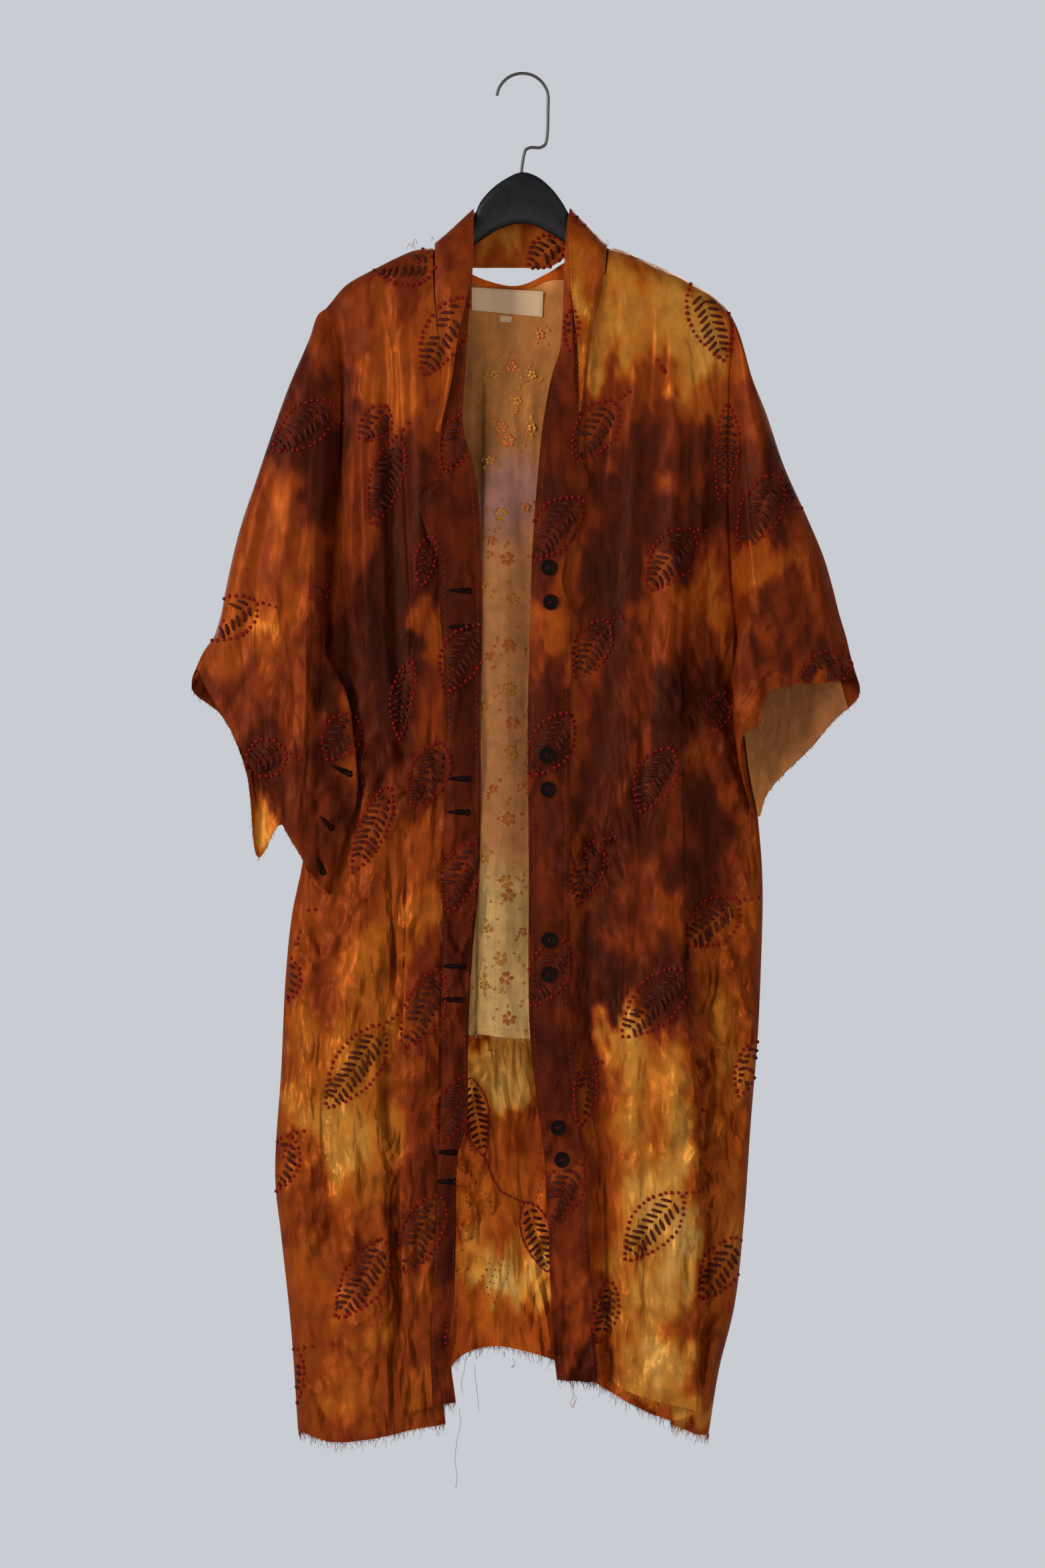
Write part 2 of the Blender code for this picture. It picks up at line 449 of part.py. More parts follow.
def shoulder_line():
    """The tops of the front panels as x and drop, in the order of x: the right shoulder, and the left."""
    right = [RIGHT_SIDE[0][:2], *[rows[0][:2] for rows in reversed(RIGHT_FRONT.values())]]
    left = [*[rows[0][:2] for rows in LEFT_FRONT.values()], LEFT_SIDE[0][:2]]
    return right, left


def shoulder_drop(x):
    right, left = shoulder_line()
    line = np.array(right + left, dtype=float)
    return float(np.interp(x, line[:, 0], line[:, 1]))


def back_lines():
    lines = []
    for side in (RIGHT_SIDE, LEFT_SIDE):
        edge = even_steps(side, BACK_ROWS, BACK_BIAS)
        edge[:, 2] = -edge[:, 2] - SEAM
        lines.append(edge)
    inner = []
    for top_x, neck_drop, hem_x, hem, *backs in BACK_GUIDES:
        top = neck_drop or shoulder_drop(top_x)
        drops = [top, 500, 900, hem]
        rows = [
            (top_x + (hem_x - top_x) * (drop - top) / (hem - top), drop, -back)
            for drop, back in zip(drops, backs)
        ]
        line = even_steps(rows, BACK_ROWS, BACK_BIAS)
        inner.append(line if neck_drop else rounded_top(line))
    rolls = [edge_roll(lines[0], inner[0], 0.3, 0.7), edge_roll(lines[1], inner[-1], 0.3, 0.7)]
    return [lines[0], rolls[0], *inner, rolls[1], lines[1]]


def back_panel():
    grid = smooth(back_lines(), 2)
    count = len(grid)
    near_edge = np.clip(np.minimum(np.arange(count), np.arange(count)[::-1]) / 4, 0, 1)[:, None]
    grid[..., 2] -= folds(grid, BACK_FOLDS) * near_edge
    grid[..., 2] = np.minimum(grid[..., 2], -SEAM)
    return wall("back", "silk", grid, flat_sides=("first", "last", "top"))


def strip(name, colour, guides, rows, per=2, bias=1.0, top_roll=False):
    """A narrow piece through its own guide lines."""
    lines = [even_steps(guide, rows, bias) for guide in guides]
    if top_roll:
        lines = [rounded_top(line) for line in lines]
    return wall(name, colour, smooth(lines, per))


def back_collar():
    lines = []
    for x, top, bottom, back_top, back_bottom in BACK_COLLAR:
        middle_back = (back_top + 3 * back_bottom) / 4
        rows = [(x, top, -back_top), (x, (top + bottom) / 2, -middle_back), (x, bottom, -back_bottom)]
        lines.append(even_steps(rows, 3))
    return wall("back_collar", "collar", smooth(lines, 2))


def back_lining():
    lines = []
    for top_x, top, hem_x, hem, back_top, back_low in LINING_GUIDES:
        drops = [top, top + LINING_TURN, 245, 340, 600, hem]
        backs = [LINING_TOP, back_top, back_top, back_low, back_low, back_low]
        rows = [
            (top_x + (hem_x - top_x) * (drop - top) / (hem - top), drop, -back)
            for drop, back in zip(drops, backs)
        ]
        lines.append(even_steps(rows, LINING_ROWS, 1.2))
    return wall("back_lining", "lining", smooth(lines, 2))


def sleeve_grid(table, side):
    """An open tube of points: its guide lines run from the armhole to the cuff."""
    edge = even_steps(side, 200)
    outward = -1 if side[0][0] < 0 else 1
    lines = []
    for drop, face, rows in table:
        x = np.interp(drop, edge[:, 1], edge[:, 0]) + outward * ARMHOLE_SEAM
        front = np.interp(drop, edge[:, 1], edge[:, 2]) * face
        lines.append(even_steps([(x, drop, front), *rows], SLEEVE_ROWS, 1.15))
    grid = smooth(lines, 2, closed=True)
    face = np.clip(grid[..., 2] / 12, -1, 1)
    begin = np.clip(np.arange(grid.shape[1]) / 3, 0, 1)[None, :]
    grid[..., 2] += folds(grid, SLEEVE_FOLDS) * face * begin
    return grid


def sleeve_lining(name, grid, columns, first_row):
    """A lining made from the points of a sleeve's back face, moved inwards, and a little shorter at the cuff."""
    normal = normals(grid, True)
    inward = -np.sign(np.mean(normal[3:9, :, 2]))
    lining = (grid + normal * inward * LINING_GAP)[columns, first_row:].copy()
    lining[:, -1] += (lining[:, -2] - lining[:, -1]) * 0.1
    return wall(name, "lining", lining)


def patch(name, colour, corners, fronts, columns, rows):
    """A small flat piece of cloth between four corners, given as x and drop."""
    (ax, ad), (bx, bd), (cx, cd), (dx, dd) = corners
    lines = []
    for i in range(columns + 1):
        u = i / columns
        line = []
        for k in range(rows + 1):
            v = k / rows
            x = (ax + (bx - ax) * u) * (1 - v) + (dx + (cx - dx) * u) * v
            drop = (ad + (bd - ad) * u) * (1 - v) + (dd + (cd - dd) * u) * v
            line.append((x, drop, fronts[0] + (fronts[1] - fronts[0]) * u))
        lines.append(line)
    return wall(name, colour, np.array(lines, dtype=float), thick=1.0)


def ring_profile():
    """Half section of a button: radius and height above its back."""
    return [
        (0.0, 0.0), (BUTTON - 0.6, 0.0), (BUTTON, 0.7), (BUTTON, BUTTON_THICK - 0.6),
        (BUTTON - 0.8, BUTTON_THICK), (BUTTON - 2.0, BUTTON_THICK - 0.5), (0.0, BUTTON_THICK - 0.9),
    ]


def button(name, x, drop, front, facing=1):
    """A round button with a dished face. facing is -1 where it faces the wall."""
    profile = ring_profile()
    points = [(x, drop, front + facing * profile[0][1])]
    for radius, height in profile[1:-1]:
        for side in range(BUTTON_SIDES):
            turn = 2 * math.pi * side / BUTTON_SIDES
            points.append((x + radius * math.cos(turn), drop + radius * math.sin(turn), front + facing * height))
    points.append((x, drop, front + facing * profile[-1][1]))
    faces = []
    rings = len(profile) - 2
    for side in range(BUTTON_SIDES):
        following = (side + 1) % BUTTON_SIDES
        faces.append((0, 1 + following, 1 + side))
        for ring in range(rings - 1):
            a = 1 + ring * BUTTON_SIDES
            b = a + BUTTON_SIDES
            faces.append((a + side, a + following, b + following, b + side))
        last = 1 + (rings - 1) * BUTTON_SIDES
        faces.append((last + side, last + following, len(points) - 1))
    return mesh_object(name, "button", world(points), faces)


def button_rest(piece, x, drop, facing=1):
    """Where the back of a button comes to rest on a piece, seen from the front, or from behind if facing is -1."""
    fronts = []
    for turn in range(BUTTON_SIDES):
        angle = 2 * math.pi * turn / BUTTON_SIDES
        for radius in (0, BUTTON / 2, BUTTON):
            around_x, around_drop = x + radius * math.cos(angle), drop + radius * math.sin(angle)
            start = Vector((around_x * MM, -0.3 * facing, -around_drop * MM))
            found, place, normal, index = piece.ray_cast(start, Vector((0, facing, 0)))
            fronts.append(-place.y / MM * facing)
    return facing * (max(fronts) + BUTTON_GAP)


def hanger_top():
    """Top line of the hanger: the visible arch, then the arms just under the shoulders."""
    arch = [(-46, 134), (-41, 123), (-31, 111), (-18, 101), (-1, 93.5), (13, 97), (27, 108), (38, 122), (45, 134)]
    under = CLOTH / 2 + HANGER_GAP
    right, left = [[(x, drop + under) for x, drop in line] for line in shoulder_line()]
    neck_right = [(-60, 151), (-74, 164)]
    neck_left = [(60, 152), (73, 167)]
    line = np.array([*right, *neck_right[::-1], *arch, *neck_left, *left], dtype=float)
    kept = [tuple(place) for place in line if abs(place[0]) < HANGER_REACH]
    ends = [(x, np.interp(x, line[:, 0], line[:, 1])) for x in (-HANGER_REACH, HANGER_REACH)]
    return [ends[0], *kept, ends[1]]


def hanger_body():
    """A contoured bar: each station is an oval from the top line down, deeper at the arms."""
    lower_arch = [
        (-86, 200), (-46, 164), (-26, 150), (-10, 144), (4, 143), (16, 147), (29, 154), (45, 164), (86, 200),
    ]
    top = hanger_top()
    sides = 10
    points = []
    for x, drop in top:
        reach = abs(x)
        arm = min(max((reach - 46) / 40, 0), 1)
        arm_height = 24 - 8 * min(max((reach - 110) / 60, 0), 1)
        arch_drop = np.interp(x, [row[0] for row in lower_arch], [row[1] for row in lower_arch])
        bottom = (1 - arm) * arch_drop + arm * (drop + arm_height)
        half_depth = np.interp(reach, [row[0] for row in HANGER_DEPTH], [row[1] for row in HANGER_DEPTH])
        middle, half_height = (drop + bottom) / 2, (bottom - drop) / 2
        for side in range(sides):
            turn = 2 * math.pi * side / sides - math.pi / 2
            high, deep = math.sin(turn), math.cos(turn)
            points.append((x, middle + half_height * high, half_depth * deep))
    faces = []
    for i in range(len(top) - 1):
        for side in range(sides):
            following = (side + 1) % sides
            a, b = i * sides, (i + 1) * sides
            faces.append((a + side, a + following, b + following, b + side))
    faces.append(tuple(range(sides)))
    faces.append(tuple(range((len(top) - 1) * sides, len(top) * sides)))
    return mesh_object("hanger_body", "hanger", world(points), faces)


def hanger_hook():
    """A bent wire: the arc that hangs on something, a straight drop, a jog and the end above the hanger."""
    centre_drop = HOOK_RADIUS - WIRE
    arc = [
        (HOOK_RADIUS * math.cos(math.radians(angle)), centre_drop - HOOK_RADIUS * math.sin(math.radians(angle)))
        for angle in range(172, 4, -16)
    ]
    stem = [(24.6, 34), (23.6, 60), (21.8, 67), (17, 70), (8, 70), (3.4, 72), (1.4, 77), (0.0, 85), (-1, 93.1)]
    path = smooth([(x, drop, 0) for x, drop in arc + stem], 2)
    curve = bpy.data.curves.new("hanger_hook", "CURVE")
    curve.dimensions = "3D"
    spline = curve.splines.new("POLY")
    spline.points.add(len(path) - 1)
    for point, place in zip(spline.points, world(path)):
        point.co = (*place, 1.0)
    curve.bevel_depth = WIRE * MM
    curve.bevel_resolution = 1
    curve.use_fill_caps = True
    curve.materials.append(material("wire"))
    made = bpy.data.objects.new("hanger_hook", curve)
    bpy.context.scene.collection.objects.link(made)
    return made


def build():
    for old in list(bpy.data.objects):
        bpy.data.objects.remove(old, do_unlink=True)
    back_panel()
    front_panel("right_front", RIGHT_FRONT, RIGHT_SIDE)
    front_panel("left_front", LEFT_FRONT, LEFT_SIDE)
    strip("right_band", "band", RIGHT_BAND, BAND_ROWS)
    left_band = strip("left_band", "band", LEFT_BAND, BAND_ROWS)
    strip("right_collar", "collar", RIGHT_COLLAR, 10, top_roll=True)
    strip("left_collar", "collar", LEFT_COLLAR, 10, top_roll=True)
    back_collar()
    right_sleeve = wall("right_sleeve", "silk", sleeve_grid(RIGHT_SLEEVE, RIGHT_SIDE), closed=True)
    left = sleeve_grid(LEFT_SLEEVE, LEFT_SIDE)
    wall("left_sleeve", "silk", left, closed=True)
    sleeve_lining("left_sleeve_lining", left, np.s_[17:28], 6)
    back_lining()
    patch("neck_label", "label", [(-49, 204), (20, 208), (19, 232.5), (-49, 226)], (-10.4, -10.4), 4, 2)
    patch("size_tab", "label", [(-22, 231), (-10, 232), (-11.5, 238), (-22, 237)], (-10.85, -10.85), 2, 1)
    bpy.context.view_layer.update()
    for number, (x, drop) in enumerate(BUTTONS, 1):
        button(f"button_{number}", x, drop, button_rest(left_band, x, drop))
    x, drop = CUFF_BUTTON
    button("cuff_button", x, drop, button_rest(right_sleeve, x, drop, -1), facing=-1)
    hanger_body()
    hanger_hook()


build()
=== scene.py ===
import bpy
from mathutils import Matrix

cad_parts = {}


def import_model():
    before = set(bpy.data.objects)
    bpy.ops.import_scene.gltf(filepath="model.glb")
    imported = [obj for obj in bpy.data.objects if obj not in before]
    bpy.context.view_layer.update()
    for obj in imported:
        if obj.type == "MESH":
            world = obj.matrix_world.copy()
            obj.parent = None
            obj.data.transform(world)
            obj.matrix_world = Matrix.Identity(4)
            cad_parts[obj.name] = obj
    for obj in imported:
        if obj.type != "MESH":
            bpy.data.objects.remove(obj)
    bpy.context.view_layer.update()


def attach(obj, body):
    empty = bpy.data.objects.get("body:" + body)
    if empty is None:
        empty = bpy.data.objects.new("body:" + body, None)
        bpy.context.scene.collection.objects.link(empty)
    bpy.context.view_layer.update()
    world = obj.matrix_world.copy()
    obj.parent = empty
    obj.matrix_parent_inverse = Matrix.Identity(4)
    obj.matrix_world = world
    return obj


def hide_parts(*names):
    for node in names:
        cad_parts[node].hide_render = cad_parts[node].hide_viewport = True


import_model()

import math
import random

import bmesh
import bpy
import numpy as np
from mathutils import Vector
from mathutils.bvhtree import BVHTree

MM = 0.001
THIN = 0.5             # thickness of the silk
PALEST = 0.92          # the lightest that a dyed point may be
SEAM = 0.04            # half the space left between two pieces that are sewn together
ARMHOLE_SEAM = 0.2     # space between a body edge and the sleeve that is sewn to it
ARMHOLE_OVERLAP = 0.3  # how far the finished sleeve reaches past that edge
ROLL = 20.0            # length over which the cloth rounds over the top of the hanger
WIRE = 1.5             # radius of the hook wire
HOOK_RADIUS = 25.0     # radius of the hook's arc, at the middle of the wire
HANGER_GAP = 0.8       # space between the hanger and the cloth that rests on it
CAD_CLOTH = 1.2        # thickness of the walls that the cloth stands for
HANGER_DEPTH = [  # distance from the middle, half depth
    (60, 7.0), (80, 5.0), (92, 5.0), (130, 8.0), (162, 6.5),
]
HANGER_REACH = 162     # length of each arm from the middle
LINING_GAP = 3.0       # from the middle of a sleeve's wall to the middle of its lining
LINING_TOP = 15.3      # how far behind the hook the back lining's top edge lies, just in front of the back
LINING_TURN = 14.0     # length over which the lining comes forward from there
BUTTON = 7.5           # radius of a button
PER = 10               # columns of the cloth between two guide lines
ROWS = 300             # rows of the long panels
BACK_PER = 7           # columns and rows of the back, and columns of its lining
BACK_ROWS = 290
LINING_ROWS = 200      # rows of the back lining
BAND_ROWS = 340        # rows of the front bands
COLLAR_ROWS = 90       # rows of the collar ends
SLEEVE_STEPS = 112     # rows of a sleeve, from the armhole to the cuff
TOP_BIAS = 1.15        # over 1, the rows lie closer together near the shoulder
LINING_CLEAR = 1.3     # least distance from the back cloth to its lining
BUTTON_SIDES = 36      # sides of a button's round edge
HANGER_SIDES = 32      # sides of the hanger's oval bar
SILK_SHINE = 0.14      # specular level of the silk
SHEEN_SPREAD = 0.35    # roughness of the silk's sheen
FACET_STEP = 0.11      # how much the noise grows from a crest of the fine creases to the next valley
DYE_STOPS = [0.0, 0.16, 0.32, 0.5, 0.66, 0.82, 1.0]  # the tones that the named dyes stand at

# Body edges at the armholes and side seams, from the shoulder end, past the underarm, to the hem.
RIGHT_SIDE = [  # x, drop, front
    (-189, 225, 0), (-181, 241, 6), (-177, 256, 9), (-174, 301, 9), (-176, 360, 8), (-181, 440, 7),
    (-186, 505, 4), (-190, 545, 0), (-198, 640, 0), (-211, 755, 0), (-222, 810, 0), (-228, 870, 0),
    (-232, 955, 0), (-238, 1061, 0), (-232, 1120, 0), (-223, 1204, 0), (-216, 1305, 0),
]
LEFT_SIDE = [  # x, drop, front
    (194, 223, 0), (201, 240, 6), (201, 264, 9), (199, 303, 9), (198, 378, 8), (199, 440, 7), (203, 502, 4),
    (208, 545, 0), (217, 640, 0), (227, 720, 0), (231, 780, 0), (229, 870, 0), (226, 932, 0),
    (220, 1004, 0), (213, 1104, 0), (204, 1185, 0), (189, 1247, 0), (179, 1309, 0),
]

# Guide lines of the front panels, from the opening edge to the side. Each is rows of x, drop, front.
RIGHT_FRONT = {
    "opening edge": [
        (-86, 167, 20), (-85, 215, 23), (-77, 279, 25), (-62, 346, 25), (-48, 405, 26), (-44, 480, 27),
        (-44, 700, 28), (-51, 845, 28), (-57, 1009, 29), (-65, 1055, 29), (-68, 1175, 30), (-71, 1225, 30),
        (-67, 1276, 30),
    ],
    "strip": [
        (-103, 169, 20), (-103, 215, 23), (-98, 279, 26), (-90, 346, 26), (-82, 410, 27), (-80, 500, 28),
        (-80, 620, 31), (-82, 760, 33), (-82, 1000, 34), (-86, 1150, 35), (-84, 1279, 35),
    ],
    "fold edge": [
        (-118, 175, 20), (-119, 215, 23), (-117, 279, 27), (-113, 346, 27), (-110, 430, 28),
        (-108, 520, 31), (-107, 600, 35), (-108, 700, 38), (-111, 790, 38), (-114, 900, 38),
        (-116, 1000, 39), (-117, 1100, 39), (-112, 1200, 39), (-105, 1285, 39),
    ],
    "fold return": [
        (-123, 178, 20), (-124, 215, 22), (-122, 279, 24), (-119, 346, 22), (-115, 430, 21),
        (-108, 520, 21), (-98, 600, 24), (-91, 700, 26), (-91, 800, 26), (-92, 900, 26), (-92, 1000, 26),
        (-90, 1100, 26), (-84, 1200, 26), (-74, 1296, 26),
    ],
    "fold back": [
        (-128, 180, 19), (-131, 215, 20), (-132, 279, 20), (-131, 346, 17), (-128, 430, 15),
        (-123, 520, 14), (-116, 600, 15), (-113, 700, 17), (-114, 800, 17), (-117, 900, 17),
        (-118, 1000, 18), (-116, 1100, 18), (-112, 1200, 18), (-104, 1303, 18),
    ],
    "side middle": [
        (-142, 187, 18), (-147, 220, 20), (-150, 279, 22), (-150, 346, 23), (-148, 430, 25),
        (-146, 520, 21), (-144, 600, 17), (-146, 700, 16), (-150, 800, 24), (-152, 900, 28),
        (-154, 1000, 27), (-154, 1100, 29), (-150, 1200, 29), (-142, 1311, 27),
    ],
    "side outer": [
        (-170, 203, 14), (-166, 228, 16), (-163, 279, 17), (-162, 346, 15), (-164, 430, 13), (-167, 520, 9),
        (-170, 600, 5), (-176, 700, 5), (-184, 790, 10), (-192, 880, 19), (-196, 960, 22), (-196, 1060, 22),
        (-190, 1180, 22), (-184, 1315, 19),
    ],
}
LEFT_FRONT = {
    "opening edge": [
        (83, 167, 20), (80, 192, 22), (75, 218, 22), (61, 279, 25), (38, 346, 25), (22, 400, 26.4),
        (15, 468, 27.8), (11, 600, 28.9), (12, 880, 28.9), (15, 940, 28.9), (26, 1032, 29.9),
        (32, 1140, 29.9), (35, 1215, 29.9), (38, 1248, 29.9),
    ],
    "under band": [
        (98, 171, 20), (94, 215, 23), (84, 279, 26), (74, 346, 26), (62, 420, 27), (50, 500, 27),
        (46, 600, 27), (46, 880, 26), (51, 950, 25), (59, 1010, 24), (65, 1090, 22), (70, 1160, 21),
        (73, 1250, 21),
    ],
    "recess": [
        (111, 176, 20), (108, 215, 23), (102, 279, 26), (94, 346, 26), (84, 420, 27), (72, 500, 26),
        (66, 600, 25), (64, 760, 22), (64, 880, 20), (68, 950, 18), (73, 1010, 17), (77, 1090, 16),
        (80, 1160, 16), (82, 1252, 17),
    ],
    "panel rise": [
        (124, 182, 20), (121, 215, 23), (118, 279, 26), (112, 346, 26), (104, 420, 28), (96, 500, 29),
        (90, 600, 29), (86, 760, 28), (84, 880, 27), (85, 950, 27), (87, 1010, 28), (89, 1090, 30),
        (91, 1160, 30), (94, 1262, 30),
    ],
    "panel middle": [
        (138, 189, 19), (138, 220, 22), (138, 279, 26), (136, 346, 27), (132, 420, 29), (126, 500, 31),
        (122, 600, 33), (120, 760, 36), (120, 880, 38), (122, 950, 39), (124, 1010, 40), (126, 1090, 41),
        (126, 1160, 41), (128, 1274, 40),
    ],
    "fold edge": [
        (152, 195, 18), (156, 225, 20), (158, 279, 23), (158, 346, 24), (156, 420, 25), (153, 500, 28),
        (152, 600, 32), (153, 700, 35), (155, 800, 38), (156, 880, 38), (163, 945, 39), (168, 1010, 39),
        (169, 1070, 39), (168, 1147, 39), (166, 1230, 39), (167, 1285, 39),
    ],
    "fold return": [
        (162, 201, 17), (168, 232, 18), (172, 279, 20), (172, 346, 18), (170, 420, 17), (164, 500, 18),
        (154, 600, 21), (146, 700, 24), (145, 800, 25), (145, 880, 25), (148, 945, 26), (150, 1010, 26),
        (150, 1070, 26), (148, 1147, 26), (146, 1230, 26), (142, 1296, 26),
    ],
    "fold back": [
        (169, 205, 16), (178, 236, 15), (183, 279, 16), (183, 346, 14), (181, 420, 13), (178, 500, 12),
        (172, 600, 12), (169, 700, 15), (170, 800, 16), (172, 880, 16), (178, 945, 16), (180, 1010, 17),
        (180, 1070, 17), (177, 1147, 17), (171, 1230, 17), (158, 1304, 17),
    ],
    "side outer": [
        (180, 211, 12), (190, 242, 12), (192, 279, 12), (191, 346, 11), (190, 420, 10), (190, 500, 7),
        (194, 600, 5), (202, 700, 10), (206, 800, 16), (205, 880, 20), (204, 945, 20), (202, 1010, 20),
        (198, 1070, 20), (192, 1147, 20), (182, 1230, 20), (168, 1308, 17),
    ],
}

# Back panel: where each guide line starts and ends, and how far behind the hook it lies at four heights. The
# lines with no top drop start on the shoulder line, and the others at the neckline.
BACK_GUIDES = [  # top x, top drop, hem x, hem drop, back at top, at 500, at 900, at hem
    (-166, None, -184, 1311, 15, 15, 17, 15), (-140, None, -150, 1306, 18, 21, 24, 22),
    (-112, None, -118, 1297, 19, 18, 17, 17), (-90, None, -92, 1278, 17, 20, 21, 21),
    (-62, 184, -60, 1236, 17, 19, 18, 18), (-34, 197, -28, 1226, 17, 17, 20, 20),
    (-5, 202, 4, 1231, 17, 18, 17, 17), (22, 191, 32, 1240, 17, 17, 21, 21),
    (46, 177, 62, 1256, 17, 20, 18, 18), (84, None, 96, 1277, 17, 18, 22, 22),
    (116, None, 122, 1290, 19, 21, 17, 17), (145, None, 146, 1299, 18, 18, 22, 20),
    (175, None, 166, 1305, 15, 15, 17, 15),
]

# Collar ends: guide lines from the outer seam to the free edge.
RIGHT_COLLAR = [  # x, drop, front
    [(-84.3, 163, 20), (-84, 190, 23.8), (-83.6, 214, 24.8), (-80.5, 246, 26), (-77.5, 285, 27.4),
     (-80, 325, 29.5), (-84, 344, 32)],
    [(-72, 152, 18), (-74, 185, 27), (-72, 214, 31), (-70, 246, 34), (-70, 285, 35), (-76, 325, 35),
     (-82, 345, 35)],
    [(-60, 141, 14), (-61, 180, 25), (-60, 214, 30), (-62, 250, 34), (-68, 295, 35), (-77, 334, 35),
     (-81, 346, 35)],
    [(-47, 129, 12), (-47, 160, 19), (-48, 190, 25), (-54, 218, 30), (-62, 253, 34), (-69, 286, 35),
     (-77, 336, 35), (-80, 347, 35)],
]
LEFT_COLLAR = [  # x, drop, front
    [(81.3, 163.5, 20), (79, 192, 23.7), (74.5, 218, 24.2), (68, 246, 25.8), (63, 279, 27.4), (59, 316, 31),
     (57, 325, 32)],
    [(74, 157, 18), (73, 190, 27), (66, 220, 31), (63, 246, 34), (60, 279, 35), (57, 316, 34),
     (56, 325, 34)],
    [(60, 143, 14), (61, 185, 25), (58, 220, 31), (57, 250, 34), (57, 285, 35), (56, 318, 34),
     (55, 326, 34)],
    [(46, 129, 12), (43, 142, 15), (44, 161, 19), (45, 187, 24), (48, 221, 30), (51, 246, 34),
     (53, 272, 35), (54, 305, 35), (54, 327, 34)],
]

# Front bands with their lapels: guide lines from the opening edge to the free outer edge.
RIGHT_BAND = [  # x, drop, front
    [(-47, 152, 12), (-48, 190, 18), (-52, 240, 25), (-55, 288, 28), (-57, 341, 28), (-47, 377, 28),
     (-42, 413, 28), (-40, 468, 28.7), (-39, 540, 29), (-41, 620, 29.4), (-40, 700, 29.6),
     (-42, 780, 29.6), (-48, 845, 29.6), (-52, 922, 30), (-54, 1009, 30.6), (-62, 1040, 31),
     (-64, 1118, 31.4), (-66, 1175, 31.6),
     (-70, 1222, 31.7), (-64, 1276, 31.7)],
    [(-52, 155, 13), (-55, 190, 20), (-60, 240, 27), (-64, 288, 30), (-68, 341, 31), (-66, 377, 31),
     (-68, 413, 34), (-60, 468, 34), (-58, 540, 34), (-58, 620, 35), (-58, 700, 35), (-60, 780, 35),
     (-62, 845, 35), (-66, 922, 36), (-68, 1009, 37), (-72, 1050, 37), (-74, 1118, 38), (-76, 1175, 38),
     (-78, 1222, 38), (-75, 1277, 38)],
    [(-57, 160, 14), (-61, 192, 22), (-67, 240, 28), (-73, 288, 30), (-77, 341, 31), (-75, 383, 31),
     (-98, 410, 36), (-90, 446, 37), (-81, 466, 36), (-80, 505, 34), (-74, 600, 35), (-75, 695, 35),
     (-76, 780, 36), (-77, 845, 36), (-78, 915, 37), (-79, 1009, 38), (-82, 1060, 39), (-84, 1118, 39),
     (-86, 1175, 39), (-88, 1222, 39), (-86, 1279, 39)],
]
LEFT_BAND = [  # x, drop, front
    [(42, 146, 12), (40, 190, 20), (38, 246, 27), (36, 267, 28), (29, 288, 28), (20, 335, 28),
     (13, 405, 28),
     (9, 468, 28.7), (7, 540, 29.2), (5, 620, 29.6), (6, 750, 29.7), (6, 890, 29.7), (8, 935, 29.8),
     (14, 989, 30.4), (20, 1032, 30.8), (24, 1089, 30.8), (27, 1170, 30.8), (30, 1225, 30.8),
     (33, 1254, 30.8)],
    [(45, 152, 13), (45, 200, 24), (46, 246, 29), (45, 280, 30), (41, 310, 30), (40, 350, 31),
     (38, 405, 33),
     (30, 468, 33), (27, 540, 34), (26, 620, 34), (26, 750, 34), (26, 890, 34), (29, 945, 34),
     (35, 1000, 33), (40, 1045, 33), (44, 1100, 33), (48, 1170, 33), (51, 1225, 33), (53, 1256, 33)],
    [(49, 160, 14), (50, 210, 25), (52, 255, 29), (54, 285, 30), (56, 320, 30), (55, 370, 31),
     (63, 389, 33),
     (57, 418, 34), (48, 444, 34), (40, 470, 34), (38, 490, 34), (44, 512, 34), (46, 560, 34),
     (46, 650, 34), (46, 890, 34), (50, 947, 33), (56, 1009, 32), (61, 1089, 31), (66, 1165, 31),
     (71, 1233, 31),
     (72, 1257, 31)],
]

# Back collar: the standing band behind the neck, from the right side of the neck to the left.
BACK_COLLAR = [  # x, top drop, bottom drop, back at top, back at bottom
    (-84, 162, 165.5, 0.8, 5), (-71, 151, 174, 1, 11), (-60, 141, 184, 2, 12), (-46, 132, 185, 8, 13),
    (-24, 131, 185, 12, 13), (0, 130, 185, 12, 13), (24, 131, 185, 12, 13), (45, 134, 173, 10, 13),
    (57, 141, 169, 2, 11), (68, 152, 165, 1, 9), (80, 162.5, 164.5, 0.8, 4),
]

# Back lining: guide lines start at the neckline. The middle stands forward as a stitched pleat.
LINING_GUIDES = [  # top x, top drop, hem x, hem drop, back at top, back lower down
    (-112, 214, -112, 930, 12, 12), (-84, 206, -84, 927, 12, 12), (-56, 200, -52, 925, 12, 12),
    (-38, 203, -46, 925, 12, 8), (-33, 205, -43, 924, 12, 4), (-16, 209, -20, 927, 11.8, 4),
    (-8, 209, -6, 928, 12, 7), (8, 205, 12, 929, 12, 9), (28, 197, 34, 930, 12, 12),
    (60, 199, 70, 932, 12, 12), (92, 208, 104, 934, 12, 12),
]

